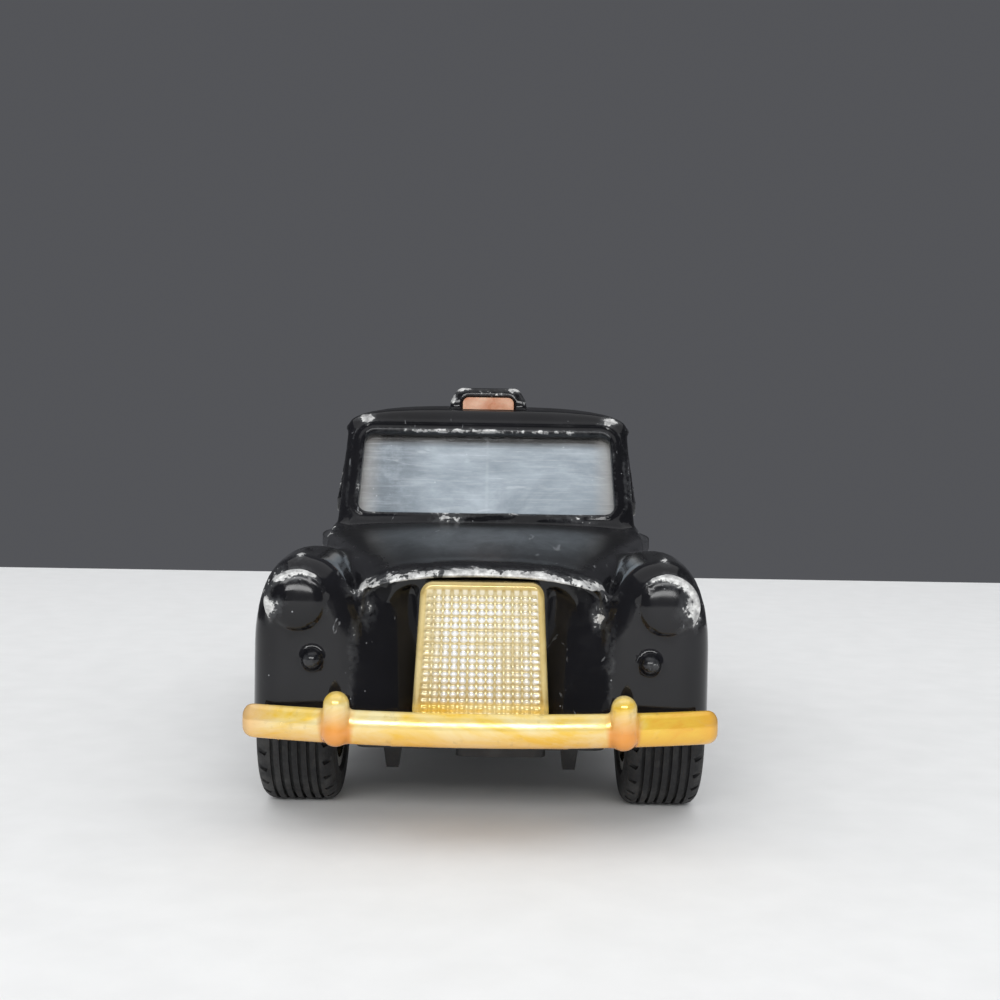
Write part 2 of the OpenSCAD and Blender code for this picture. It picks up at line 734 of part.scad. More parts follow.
post_bore_depth = 6;
module post_bores() {
    for (y = [front_post_y, rear_post_y]) {
        translate([0, y, base_h])
            cylinder(post_bore_depth + base_t, rivet_r + seat_gap, rivet_r + seat_gap, $fn = hull_fn);
    }
}

// The hinge axis of the left door, with z along it from the foot of the opening
module on_hinge() {
    translate([hinge_foot_x, hinge_y, door_foot]) rotate([0, -hinge_tilt, 0]) children();
}

module hinge_pins(r, grip) {
    on_hinge() {
        translate([0, 0, -grip]) cylinder(2 * grip, r, r, $fn = hull_fn);
        translate([0, 0, hinge_len - grip]) cylinder(2 * grip, r, r, $fn = hull_fn);
    }
}

enamel = [0.03, 0.03, 0.035];
module body_shell() {
    color(enamel) difference() {
        union() {
            difference() {
                union() {
                    forms();
                    both_sides() {
                        headlamp();
                        crest_bead();
                        side_lamp();
                        tail_lamp();
                        handle(front_door_back - handle_l - 2 * handle_r - over);
                    }
                    sign_housing();
                    wipers();
                }
                forms(wall);
                under_lip();
                shut_lines();
                openings();
            }
            apron();
            posts();
        }
        lens_block(seat_gap, lens_depth);
        post_bores();
        both_sides() hinge_pins(hinge_pin_r + 2 * running_gap, hinge_grip + running_gap);
    }
}

// Rear door: a slab between two skins of the body side, cut to the opening
door_steps = 8;
function door_skin(inset) = concat(
    [for (k = [0:door_steps])
        let (z = mix(door_foot - over, belt_edge_h, k / door_steps))
        [side_x(z) - inset, z]],
    [[side_x(belt_h + line_w) - inset, belt_h + line_w]],
    [[side_x(door_head + over) - inset, door_head + over]]
);

function reversed(list) = [for (k = [len(list) - 1:-1:0]) list[k]];

module door_slab(inset0, inset1) {
    translate([0, door_back_y + over, 0]) rotate([90, 0, 0]) linear_extrude(door_l + 2 * over)
        polygon(concat(door_skin(inset0), reversed(door_skin(inset1))));
}

module door_edge() {
    along_x(0) linear_extrude(half_w) rounded(
        [door_front_y + door_gap, door_foot + door_gap], [door_back_y - hinge_gap, door_head - door_gap],
        door_corner_r - door_gap
    );
}

module door_window(grow) {
    along_x(0) linear_extrude(half_w) rounded(
        [door_front_y + door_gap + door_frame - grow, belt_h + window_sill - grow],
        [hinge_y - hinge_pin_r - running_gap + grow, door_head - door_gap - door_frame + grow],
        window_r
    );
}

module door() {
    color(enamel) difference() {
        union() {
            intersection() {
                door_slab(0, door_t);
                door_edge();
            }
            intersection() {
                on_hinge() for (z = [0, hinge_len - knuckle_l]) {
                    translate([0, 0, z]) cylinder(knuckle_l, knuckle_r, knuckle_r, $fn = hull_fn);
                }
                door_slab(hinge_depth, 2 * door_t);
                door_edge();
            }
            handle(door_front_y + door_gap + over);
        }
        door_window(0);
        hinge_pins(hinge_pin_r + running_gap, hinge_grip + running_gap);
    }
}

module left_rear_door() {
    door();
}

module right_rear_door() {
    mirror([1, 0, 0]) door();
}

module door_glass() {
    color([0.8, 0.85, 0.88, 0.5]) intersection() {
        door_slab(door_t / 2 - glass_t / 2, door_t / 2 + glass_t / 2);
        door_window(-running_gap);
    }
}

module left_door_glass() {
    door_glass();
}

module right_door_glass() {
    mirror([1, 0, 0]) door_glass();
}

module left_door_pins() {
    color("silver") hinge_pins(hinge_pin_r, hinge_grip);
}

module right_door_pins() {
    color("silver") mirror([1, 0, 0]) hinge_pins(hinge_pin_r, hinge_grip);
}

// Glazing: windscreen, two front door panes and rear pane, joined by a plate and a
// strip under the roof
pane_gap = seat_gap + wall;
plate_drop = 0.5;
plate_z = rail_h - plate_drop - glass_t;
strip_half = 6;
side_pane_half = cab_half * cab_belt_ends_shares[0] - wall - side_gap;
side_pane_head = side_pane_half - tumblehome / 2;
side_pane_back = front_window_back + window_r / 2;
module side_pane() {
    z0 = belt_h + side_gap;
    z1 = plate_z + glass_t / 2;
    y0 = windscreen_y + front_window_set - window_r;
    lean = windscreen_lean * (z1 - z0) / cab_rise;
    skin([for (e = [[y0, y0 + lean], [side_pane_back, side_pane_back]]) [
        [side_pane_half, e[0], z0],
        [side_pane_head, e[1], z1],
        [side_pane_head - glass_t, e[1], z1],
        [side_pane_half - glass_t, e[0], z0]
    ]]);
}

module flat_pane(foot_half, head_half, v0, v1) {
    translate([0, pane_gap, 0]) rotate([90, 0, 0]) mirror([0, 0, 1]) linear_extrude(glass_t)
        polygon([[-foot_half, v0], [foot_half, v0], [head_half, v1], [-head_half, v1]]);
}

// Way up a sloping pane to the top of the plate, and how far the pane leans there
function pane_head(rake) = (plate_z + glass_t - belt_h + pane_gap * sin(rake)) / cos(rake);
function head_lean(rake) = pane_head(rake) * sin(rake) + (pane_gap + glass_t / 2) * cos(rake);

module window_glazing() {
    rear_half = rear_window_w / 2 + window_r;
    plate_half = side_pane_head - glass_t / 2;
    plate_y = windscreen_y + head_lean(windscreen_rake);
    strip_y = side_pane_back - glass_t;
    neck_half = strip_half + glass_t;
    color([0.8, 0.85, 0.88, 0.5]) {
        on_windscreen()
            flat_pane(side_pane_half, rail_half - wall - side_gap, seat_gap, pane_head(windscreen_rake));
        on_rear_window() {
            flat_pane(rear_half, rear_half, window_sill, 2 * window_sill + rear_window_h + window_r);
            flat_pane(neck_half, neck_half, rear_window_h, pane_head(rear_rake));
        }
        both_sides() side_pane();
        translate([-plate_half, plate_y, plate_z])
            cube([2 * plate_half, side_pane_back - plate_y, glass_t]);
        translate([-strip_half, strip_y, plate_z])
            cube([2 * strip_half, rear_window_y - head_lean(rear_rake) - strip_y, glass_t]);
    }
}

// Cabin moulding: floor, dashboard, driver's seat, partition, tip-up pads, rear bench
cabin_inset = 7.8;
cabin_half = half_w - cabin_inset;
floor_z = base_top;
cabin_set = 3.4;
cabin_front = windscreen_y + cabin_set;
bench_set = 1.4;
cabin_back = rear_axle_y - arch_r - bench_set;
bench_half = spine_half - side_gap;
bench_front = cabin_back;
bench_depth = 9.5;
bench_z = 13;
cushion_h = 4.6;
back_h = 27.2;
back_t = 3.2;
edge_r = 0.8;
partition_t = 1.1;
partition_y = front_door_back - partition_t;
partition_h = 26.5;
seat_w = 8.6;
seat_l = 7.6;
dash_h = 26.6;
dash_t = 3;
pad_w = 7.4;
pad_t = 1.3;
pad_l = 5.6;
pad_z = 14.6;
column_r = 0.55;
column_tilt = 62;
steer_set = 9.2;
steer_drop = 3.6;
steer_y = windscreen_y + steer_set;
steer_z = belt_h - steer_drop;
module soft_box(a, b) {
    along_x(a[0]) linear_extrude(b[0] - a[0]) rounded([a[1], a[2]], [b[1], b[2]], edge_r);
}

module seat_back(x0, x1, y, z0, z1, lean) {
    along_x(x0) linear_extrude(x1 - x0) hull() {
        for (p = [
            [edge_r, z0 + edge_r], [back_t - edge_r, z0 + edge_r],
            [edge_r + lean, z1 - edge_r], [back_t / 2 + lean, z1 - edge_r]
        ]) translate([y + p[0], p[1]]) circle(edge_r, $fn = small_fn);
    }
}

module on_column() {
    translate([-driver_x, steer_y, steer_z]) rotate([column_tilt, 0, 0]) children();
}

module block(a, b) {
    translate(a) cube(b - a);
}

module interior_tub() {
    seat_y = partition_y - seat_l - back_t / 2;
    seat_x0 = -driver_x - seat_w / 2;
    seat_x1 = -driver_x + seat_w / 2;
    pad_y = partition_y + partition_t;
    bench_y = bench_front - floor_t;
    color([0.62, 0.47, 0.3]) difference() {
        union() {
            block([-cabin_half, cabin_front, floor_z], [cabin_half, cabin_back, floor_z + floor_t]);
            block([-cabin_half, cabin_front, floor_z], [cabin_half, cabin_front + floor_t, dash_h - edge_r]);
            soft_box(
                [-cabin_half, cabin_front, dash_h - 2 * dash_t], [cabin_half, cabin_front + dash_t, dash_h]
            );
            block([seat_x0, seat_y + edge_r, floor_z], [seat_x1, seat_y + seat_l, bench_z]);
            soft_box(
                [seat_x0, seat_y, bench_z - edge_r],
                [seat_x1, seat_y + seat_l, bench_z + cushion_h - edge_r]
            );
            seat_back(seat_x0, seat_x1, seat_y + seat_l - back_t, bench_z + edge_r, back_h, edge_r);
            block([-cabin_half, partition_y, floor_z], [cabin_half, pad_y, partition_h]);
            for (x = [-pad_w - edge_r, edge_r]) {
                soft_box([x, pad_y - partition_t / 2, pad_z], [x + pad_w, pad_y + pad_t, pad_z + pad_l]);
            }
            block([-bench_half, bench_y, floor_z], [bench_half, bench_front, bench_z + edge_r]);
            block(
                [-bench_half, bench_y, bench_z - floor_t / 2],
                [bench_half, bench_y + bench_depth + back_t, bench_z + floor_t / 2]
            );
            soft_box(
                [-bench_half, bench_y, bench_z - edge_r],
                [bench_half, bench_front + bench_depth, bench_z + cushion_h]
            );
            seat_back(-bench_half, bench_half, bench_front + bench_depth - back_t, bench_z + edge_r,
                back_h, 2 * edge_r);
        }
        on_column() translate([0, 0, -steer_r * 2])
            cylinder(steer_r * 2, column_r + seat_gap, column_r + seat_gap, $fn = hull_fn);
    }
}

// Steering wheel: rim, three spokes, boss, and a column that ends in the dashboard
rim_r = 0.42;
column_l = 5.4;
module steering_wheel() {
    color([0.1, 0.1, 0.1]) on_column() {
        rotate_extrude($fn = round_fn) translate([steer_r, 0]) circle(rim_r, $fn = small_fn);
        for (a = [90, 210, 330]) rotate([0, 0, a]) {
            translate([0, -rim_r, -rim_r / 2]) cube([steer_r, 2 * rim_r, rim_r]);
        }
        translate([0, 0, -rim_r]) cylinder(2 * rim_r, 2 * column_r, 2 * column_r, $fn = hull_fn);
        translate([0, 0, -column_l]) cylinder(column_l, column_r, column_r, $fn = hull_fn);
    }
}

// Lens of the roof sign
module sign_lens() {
    color([0.9, 0.45, 0.25]) lens_block(0, lens_depth);
}

// Axles: a bar with a domed head at each end
head_t = 0.6;
axle_half = tyre_x + hub_face + seat_gap;
module axle(y) {
    color("silver") translate([0, y, axle_z]) rotate([0, 90, 0]) {
        translate([0, 0, -axle_half - head_t / 2])
            cylinder(2 * axle_half + head_t, axle_r, axle_r, $fn = round_fn);
        for (s = [0, 1]) mirror([0, 0, s]) translate([0, 0, axle_half]) {
            cylinder(head_t / 2, axle_head_r, axle_head_r, $fn = round_fn);
            translate([0, 0, head_t / 2])
                cylinder(head_t / 2, axle_head_r, axle_head_r - head_t / 2, $fn = round_fn);
        }
    }
}

module front_axle() {
    axle(front_axle_y);
}

module rear_axle() {
    axle(rear_axle_y);
}

// Wheels are drawn about z, with their outer face up, then turned to their place
module wheel_place(side, y) {
    mirror([side < 0 ? 1 : 0, 0, 0]) translate([tyre_x, y, axle_z]) rotate([0, 90, 0]) children();
}

tyre_r = tyre_d / 2;
tyre_bore_r = rim_d / 2 + running_gap;
bead_in = 0.5;
groove_w = 0.34;
groove_depth = 0.4;
notch_w = 0.5;
notch_depth = 0.45;
notch_lean = 24;
tread_half = tyre_w / 2 - shoulder_r;
arc_n = 6;
function shoulder_arc(s) = [for (k = [0:arc_n]) let (a = 90 * k / arc_n)
    s > 0
        ? [tyre_r - shoulder_r + shoulder_r * cos(a), tread_half + shoulder_r * sin(a)]
        : [tyre_r - shoulder_r + shoulder_r * sin(a), -tread_half - shoulder_r * cos(a)]];
function groove_points() = [for (k = [0:tread_grooves - 1])
    let (c = mix(-tread_half, tread_half, (k + 0.5) / tread_grooves))
    each [
        [tyre_r, c - groove_w / 2], [tyre_r - groove_depth, c - groove_w / 2],
        [tyre_r - groove_depth, c + groove_w / 2], [tyre_r, c + groove_w / 2]
    ]];
module tyre() {
    color([0.05, 0.05, 0.05]) difference() {
        rotate_extrude($fn = 96) polygon(concat(
            [[tyre_bore_r, -tyre_w / 2 + bead_in], [tyre_bore_r + bead_in, -tyre_w / 2]],
            shoulder_arc(-1), groove_points(), shoulder_arc(1),
            [[tyre_bore_r + bead_in, tyre_w / 2], [tyre_bore_r, tyre_w / 2 - bead_in]]
        ));
        for (k = [0:shoulder_notches - 1], s = [-1, 1]) {
            rotate([0, 0, 360 * (k + s / 4) / shoulder_notches])
                translate([tyre_r - notch_depth, 0, s * tyre_w / 2]) rotate([s * notch_lean, 0, 0])
                translate([0, -notch_w / 2, -shoulder_r]) cube([2 * notch_depth, notch_w, 2 * shoulder_r]);
        }
    }
}

hub_gap = 0.35;
hub_in = tyre_x - spine_half - hub_gap;
hub_boss_r = 2.3;
rim_t = 0.9;
dish_shares = [[0.9, 0.62], [0.72, 0.5], [0.6, 0.56], [0.48, 0.86], [0.3, 0.98]];
module hub() {
    rim_r0 = rim_d / 2;
    lip = tyre_w / 2 - bead_in / 2;
    bore = axle_r + running_gap;
    web = -tyre_w / 8;
    color([0.8, 0.78, 0.7]) rotate_extrude($fn = 96) polygon(concat(
        [[bore, -hub_in], [hub_boss_r, -hub_in], [hub_boss_r, web]],
        [[rim_r0 - rim_t, web], [rim_r0 - rim_t, -lip], [rim_r0, -lip]],
        [[rim_r0, lip], [rim_r0 - rim_t / 2, lip]],
        [for (p = dish_shares) [p[0] * rim_r0, p[1] * hub_face]],
        [[bore, hub_face]]
    ));
}

module front_left_tyre() {
    wheel_place(1, front_axle_y) tyre();
}

module front_right_tyre() {
    wheel_place(-1, front_axle_y) tyre();
}

module rear_left_tyre() {
    wheel_place(1, rear_axle_y) tyre();
}

module rear_right_tyre() {
    wheel_place(-1, rear_axle_y) tyre();
}

module front_left_hub() {
    wheel_place(1, front_axle_y) hub();
}

module front_right_hub() {
    wheel_place(-1, front_axle_y) hub();
}

module rear_left_hub() {
    wheel_place(1, rear_axle_y) hub();
}

module rear_right_hub() {
    wheel_place(-1, rear_axle_y) hub();
}

// Base: a stepped plate inside the sills, with axle bearings, sump, exhaust and lugs
axle_hole_r = axle_r + running_gap;
bearing_wall = 1.3;
bearing_r = axle_r + bearing_wall;
bearing_l = 2.6;
bearing_x = spine_half - bearing_l;
base_corner_r = 1.2;
base_wide_half = sill_half * tub_width_shares[0][1] - wall - side_gap;
base_front = apron_y + wall + side_gap;
base_back = tail_y - tub_end_r;
base_tail_share = 0.64;
base_tail_half = sill_half * base_tail_share;
arch_clear = 0.9;
pan_w = 9;
pan_l = 7.6;
pan_x = 2;
lug_set = 3.2;
lug_w = 2.1;
lug_l = 2.4;
lug_tip_share = 0.6;
exhaust_r = 1.1;
exhaust_x = 6.8;
diff_r = 3.2;
module base_outline() {
    rounded([-spine_half, base_front], [spine_half, base_back], base_corner_r);
    rounded(
        [-base_wide_half, front_axle_y + arch_r + arch_clear],
        [base_wide_half, rear_axle_y - arch_r - arch_clear], base_corner_r
    );
    rounded(
        [-base_tail_half, rear_axle_y + arch_r + arch_clear],
        [base_tail_half, base_back], base_corner_r
    );
}

module bearing(y) {
    both_sides() translate([bearing_x, y, 0]) {
        translate([0, -bearing_r, base_h]) cube([bearing_l, 2 * bearing_r, axle_z - base_h]);
        translate([0, 0, axle_z]) rotate([0, 90, 0])
            cylinder(bearing_l, bearing_r, bearing_r, $fn = round_fn);
    }
}

module lug() {
    tip_w = lug_w * lug_tip_share;
    tip_l = lug_l * lug_tip_share;
    lug_x = spine_half - lug_set;
    both_sides() translate([lug_x, front_axle_y - bearing_r, base_h + base_t / 2]) mirror([0, 0, 1]) {
        hull() {
            translate([-lug_w / 2, -lug_l, 0]) cube([lug_w, lug_l, base_t / 2]);
            translate([-tip_w / 2, -tip_l, 0]) cube([tip_w, tip_l, lug_drop + base_t / 2]);
        }
    }
}

module base_plate() {
    color([0.07, 0.07, 0.075]) difference() {
        union() {
            translate([0, 0, base_h]) linear_extrude(base_t) base_outline();
            bearing(front_axle_y);
            bearing(rear_axle_y);
            lug();
            translate([0, 0, base_h - pan_drop]) linear_extrude(pan_drop + base_t / 2)
                rounded(
                    [pan_x - pan_w / 2, base_front], [pan_x + pan_w / 2, base_front + pan_l],
                    base_corner_r
                );
            translate([-exhaust_x, front_axle_y + 2 * bearing_r, base_h]) rotate([-90, 0, 0])
                cylinder(wheelbase - 4 * bearing_r, exhaust_r, exhaust_r, $fn = hull_fn);
            intersection() {
                translate([0, rear_axle_y, axle_z]) sphere(diff_r + axle_r, $fn = round_fn);
                translate([-diff_r, rear_axle_y - diff_r, base_h - pan_drop])
                    cube([2 * diff_r, 2 * diff_r, pan_drop + base_t / 2]);
            }
        }
        for (y = [front_axle_y, rear_axle_y]) {
            translate([-spine_half - over, y, axle_z]) rotate([0, 90, 0])
                cylinder(2 * (spine_half + over), axle_hole_r, axle_hole_r, $fn = round_fn);
        }
        for (y = [front_post_y, rear_post_y]) {
            translate([0, y, base_h - over])
                cylinder(base_t + 2 * over, rivet_r + seat_gap, rivet_r + seat_gap, $fn = hull_fn);
        }
    }
}

// Rivets: a domed head under the base and a shank up into the post
rivet_head_r = 2.4;
rivet_head_h = 0.8;
module base_rivets() {
    color("silver") for (y = [front_post_y, rear_post_y]) translate([0, y, base_h]) {
        cylinder(post_bore_depth + base_t - 2 * seat_gap, rivet_r, rivet_r, $fn = hull_fn);
        mirror([0, 0, 1]) {
            cylinder(rivet_head_h / 2, rivet_head_r, rivet_head_r, $fn = hull_fn);
            translate([0, 0, rivet_head_h / 2])
                cylinder(rivet_head_h / 2, rivet_head_r, rivet_head_r - rivet_head_h / 2, $fn = hull_fn);
        }
    }
}

// Bumper blade: a rounded section swept on the bow, with round ends seen from the front
blade_end_r = 1.2;
blade_arc = 80;
blade_half = half_w - blade_inset;
function blade_section() = concat(
    [[bow_r - blade_t, 0], [bow_r - blade_t / 2, 0]],
    [for (k = [0:10]) let (a = mix(-blade_arc, blade_arc, k / 10))
        [bow_r - blade_t / 2 + blade_t / 2 * cos(a), blade_h / 2 + blade_h / 2 * sin(a)]],
    [[bow_r - blade_t, blade_h]]
);
module blade() {
    sweep = asin(blade_half / bow_r) + 2;
    intersection() {
        translate([0, bow_r, 0]) rotate([0, 0, -90 - sweep]) rotate_extrude(angle = 2 * sweep, $fn = 256)
            polygon(blade_section());
        rotate([90, 0, 0]) translate([0, 0, -bow_r]) linear_extrude(bow_r + over)
            rounded([-blade_half, 0], [blade_half, blade_h], blade_end_r);
    }
    overrider_y = bow_r - sqrt(bow_r * bow_r - overrider_x * overrider_x) + blade_t / 3;
    overrider_l = blade_h + overrider_rise - overrider_r;
    both_sides() translate([overrider_x, overrider_y, 0]) {
        cylinder(overrider_l, overrider_r, overrider_r, $fn = hull_fn);
        translate([0, 0, overrider_l]) sphere(overrider_r, $fn = hull_fn);
    }
}

// Grille: a tapered shell with rounded head corners and a grid of raised cells
grille_proud = 0.8;
grille_head_r = 1.3;
grille_y = nose_y - grille_proud;
grille_foot = blade_z + blade_h / 2;
function grille_half(z) = mix(grille_w, grille_head_w, (z - grille_foot) / (grille_h - grille_foot)) / 2;
module grille_outline(inset) {
    z1 = grille_h - inset;
    r = grille_head_r - inset;
    head = grille_half(grille_h) - inset;
    foot = grille_half(grille_foot) - inset;
    arc = [for (k = [0:5]) let (a = 90 * k / 5) [head - r + r * cos(a), z1 - r + r * sin(a)]];
    right = concat([[foot, grille_foot + inset]], arc);
    polygon(concat(right, [for (p = reversed(right)) [-p[0], p[1]]]));
}

module grille_cuts() {
    cells_w = grille_head_w - 2 * grille_frame;
    cells_z0 = blade_z + blade_h;
    cells_h = grille_h - grille_frame - cells_z0;
    translate([0, grille_y + cell_depth, 0]) rotate([90, 0, 0]) linear_extrude(cell_depth + over)
        intersection() {
            grille_outline(grille_frame);
            union() {
                for (k = [0:grille_cols]) {
                    translate([-cells_w / 2 + k * cells_w / grille_cols - cell_cut / 2, cells_z0 - over])
                        square([cell_cut, cells_h + 2 * over]);
                }
                for (k = [0:grille_rows]) {
                    translate([-grille_w / 2, cells_z0 + k * cells_h / grille_rows - cell_cut / 2])
                        square([grille_w, cell_cut]);
                }
            }
        }
}

module tabs(reach) {
    for (s = [-1, 1]) {
        translate([s * tab_x - tab_w / 2, front_y + blade_t / 2, base_top + seat_gap])
            cube([tab_w, reach - blade_t / 2, tab_t]);
    }
}

module front_bumper_grille() {
    color([0.85, 0.72, 0.42]) {
        difference() {
            translate([0, apron_y - seat_gap / 2, 0]) rotate([90, 0, 0])
                linear_extrude(apron_y - seat_gap / 2 - grille_y) grille_outline(0);
            grille_cuts();
        }
        translate([0, front_y, blade_z]) blade();
        block(
            [grille_frame - grille_w / 2, front_y + blade_t / 2, blade_z],
            [grille_w / 2 - grille_frame, apron_y - blade_t / 2, grille_foot + grille_frame]
        );
        tabs(base_front - front_y + tab_grip);
    }
}

// Rear bumper: the same blade turned round, with tabs between base and tail panel
rear_blade_z = 9.1;
module rear_bumper() {
    color([0.85, 0.72, 0.42]) rotate([0, 0, 180]) {
        translate([0, front_y, rear_blade_z]) blade();
        tabs(back_y - base_back + tab_grip);
    }
}

body_shell();
base_plate();
base_rivets();
front_bumper_grille();
rear_bumper();
window_glazing();
interior_tub();
steering_wheel();
sign_lens();
front_axle();
rear_axle();
front_left_tyre();
front_right_tyre();
rear_left_tyre();
rear_right_tyre();
front_left_hub();
front_right_hub();
rear_left_hub();
rear_right_hub();
left_rear_door();
right_rear_door();
left_door_glass();
right_door_glass();
left_door_pins();
right_door_pins();
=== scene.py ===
import json
import math

import bpy
import numpy as np
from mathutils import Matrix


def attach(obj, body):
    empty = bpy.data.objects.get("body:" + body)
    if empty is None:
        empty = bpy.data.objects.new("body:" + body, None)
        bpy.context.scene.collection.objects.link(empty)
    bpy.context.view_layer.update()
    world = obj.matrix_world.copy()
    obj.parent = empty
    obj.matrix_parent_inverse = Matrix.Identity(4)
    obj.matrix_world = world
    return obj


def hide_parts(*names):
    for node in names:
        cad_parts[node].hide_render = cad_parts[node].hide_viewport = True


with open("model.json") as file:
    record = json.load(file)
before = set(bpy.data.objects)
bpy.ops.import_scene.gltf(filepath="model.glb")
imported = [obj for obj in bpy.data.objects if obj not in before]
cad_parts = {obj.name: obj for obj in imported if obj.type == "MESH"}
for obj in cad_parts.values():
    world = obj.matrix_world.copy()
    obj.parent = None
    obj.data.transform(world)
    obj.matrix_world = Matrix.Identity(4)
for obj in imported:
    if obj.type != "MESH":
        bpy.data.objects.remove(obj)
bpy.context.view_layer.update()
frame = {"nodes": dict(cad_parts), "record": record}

import openvdb as vdb
from mathutils import Matrix, Vector

MM, TINY = 0.001, 1e-9

# Sizes of the part in mm, the same as in its source
overall_l, body_w, roof_h, wheelbase, front_overhang = 121.0, 46.4, 43.8, 75.0, 20.0
wall, sill_h, belt_h, sill_inset, belt_inset, side_bow = 1.5, 7.5, 28.8, 2.0, 3.8, 0.25
nose_set, tail_set = 4.8, 3.5
belt_step, tumblehome, roof_rise = 0.6, 1.4, 3.8
windscreen_set, windscreen_lean, rear_window_set, rear_window_lean = 39.0, 5.2, 8.5, 7.0
pillar_w, windscreen_h, rear_window_w, rear_window_h, window_r = 2.46, 10.7, 22.0, 8.0, 1.25
lip_h, cowl_h, lip_fall, cowl_fall, cowl_inset = 25.5, 28.6, 2.6, 1.6, 3.0
wing_h, wing_foot, crest_inset, wing_in, rear_wing_h = 26.8, 9.8, 5.5, 6.0, 22.6
wing_edge_r, arch_gap = 2.6, 1.4
lamp_r, lamp_h, side_lamp_r, side_lamp_h, side_lamp_in = 2.65, 22.2, 1.05, 16.8, 1.5
sign_w, sign_l, sign_rise = 9.6, 4.0, 1.7
door_l, door_foot, door_t, door_gap, hinge_gap = 21.2, 9.9, 1.5, 0.3, 0.45
hinge_set, hinge_pin_r, door_frame = 3.0, 0.5, 1.9
tyre_d = 18.5
base_h, base_t, base_clear = 7.4, 1.6, 0.3
blade_h, blade_t, blade_z, blade_inset, bow_r = 3.6, 1.5, 9.1, 0.4, 68.0
overrider_x, overrider_r, overrider_rise = 13.5, 1.35, 1.7
grille_w, grille_head_w, grille_h, grille_cols, grille_rows = 13.1, 11.9, 24.5, 13, 17
grille_frame, cell_depth, grille_proud, grille_head_r = 0.65, 0.5, 0.8, 1.3
seat_gap, running_gap, over = 0.1, 0.05, 1.0
tub_front_set, tub_end_r, tub_shoulder = 4.0, 3.0, 0.5
cab_foot_drop, roof_shoulder, cab_front_r, cab_back_r = 2.0, 1.2, 1.0, 2.4
lip_set, bonnet_tail, bonnet_skirt, bonnet_edge_r, lip_t = 0.3, 3.2, 2.0, 0.6, 0.75
wing_tail_set, apron_set, apron_lap = 13.5, 3.1, 0.7
rear_wing_inset, rear_wing_front, rear_wing_gap = 6.2, 11.2, 2.0
lamp_dome, brow_r, brow_gap, brow_from, brow_to = 0.95, 0.42, 0.25, -37.0, 160.0
bead_r, bead_l, bead_set = 0.35, 6.0, 2.2
tail_lamp_r, tail_lamp_inset, tail_lamp_h, tail_lamp_set = 1.25, 5.8, 16.6, 3.4
sign_head_w, sign_head_l, sign_set, sign_edge_r = 7.6, 2.8, 2.6, 0.5
lens_w, lens_h, lens_sink_share, lens_depth = 6.4, 1.5, 0.7, 0.8
wiper_r, wiper_l, wiper_x = 0.3, 8.5, (-3.2, 8.6)
handle_l, handle_r, handle_z = 2.8, 0.42, 25.6
window_sill, window_head, b_post, front_window_set, front_door_set = 1.4, 0.9, 2.2, 6.2, 2.4
door_corner_r, door_arch_gap, post_r, front_post_set = 0.9, 0.35, 2.6, 7.0
tab_w, tab_x, tab_grip, tab_t = 5.0, 6.0, 3.0, 1.1
blade_end_r = 1.2

# Tables of [place, share] pairs that the forms follow from front to back
cab_belt_ends_shares, cab_rail_ends_shares = (0.957, 0.95), (1.0, 0.94)
roof_line_shares = [(0, 0.973), (0.12, 0.988), (0.38, 1), (0.72, 0.99), (0.9, 0.966), (1, 0.945)]
tub_width_shares = [(0, 0.95), (0.3, 1), (0.62, 1), (0.8, 0.97), (0.92, 0.9), (1, 0.8)]
tub_top_shares = [(0, 0.945), (0.05, 1), (0.82, 1), (0.89, 0.95), (0.95, 0.84), (1, 0.66)]
tub_edge_shares = [(0, 0.92), (0.05, 0.975), (0.78, 0.975), (0.88, 0.86), (1, 0.5)]
bonnet_width_shares = [(0, 0.55), (0.2, 0.65), (0.55, 0.81), (1, 1)]
bonnet_line_shares = [(0, 0), (0.08, 0.22), (0.3, 0.56), (0.65, 0.85), (1, 1)]
wing_side_shares = [(0, 0.94), (0.14, 0.978), (0.28, 1), (0.55, 1), (0.82, 0.95), (1, 0.9)]
wing_top_shares = [(0, 0.99), (0.1, 1), (0.35, 0.995), (0.62, 0.88), (0.84, 0.68), (1, 0.52)]
wing_in_shares = [(0, 1), (0.3, 1), (1, 0.6)]
wing_foot_shares = [(0, 0), (0.3, 0), (0.5, 1), (1, 1)]
wing_shoulder_share, rear_wing_shoulder_share, rear_in_share = 0.66, 0.62, 0.3
rear_side_shares = [(0, 0.92), (0.18, 0.975), (0.4, 0.998), (0.7, 0.97), (1, 0.79)]
rear_top_shares = [(0, 0.66), (0.2, 0.92), (0.38, 1), (0.7, 0.94), (1, 0.7)]
roof_blunt, tub_blunt, bonnet_blunt, wing_blunt, shoulder_share = 3.4, 2.6, 2.3, 2.25, 0.975

# Places that follow from the sizes
front_y, back_y = -overall_l / 2, overall_l / 2
nose_y, tail_y = front_y + nose_set, back_y - tail_set
front_axle_y = front_y + front_overhang
rear_axle_y = front_axle_y + wheelbase
windscreen_y, rear_window_y = front_y + windscreen_set, rear_axle_y + rear_window_set
arch_r, axle_z, base_top = tyre_d / 2 + arch_gap, tyre_d / 2, base_h + base_t
half_w = body_w / 2
sill_half, belt_half = half_w - sill_inset, half_w - belt_inset
cab_half = belt_half - belt_step
rail_half, rail_h = cab_half - tumblehome, roof_h - roof_rise
cab_rise, belt_edge_h = rail_h - belt_h, belt_h * shoulder_share
windscreen_w = 2 * (cab_half * cab_belt_ends_shares[0] - pillar_w)
crest_x, rear_wing_crest_x = half_w - crest_inset, half_w - rear_wing_inset
side_lamp_x, tail_lamp_x = crest_x - side_lamp_in, half_w - tail_lamp_inset
apron_half = crest_x - wing_in + apron_lap
door_back_y = rear_axle_y - arch_r - door_arch_gap
door_front_y, door_head = door_back_y - door_l, rail_h - door_gap
hinge_y = door_back_y - hinge_gap - hinge_set
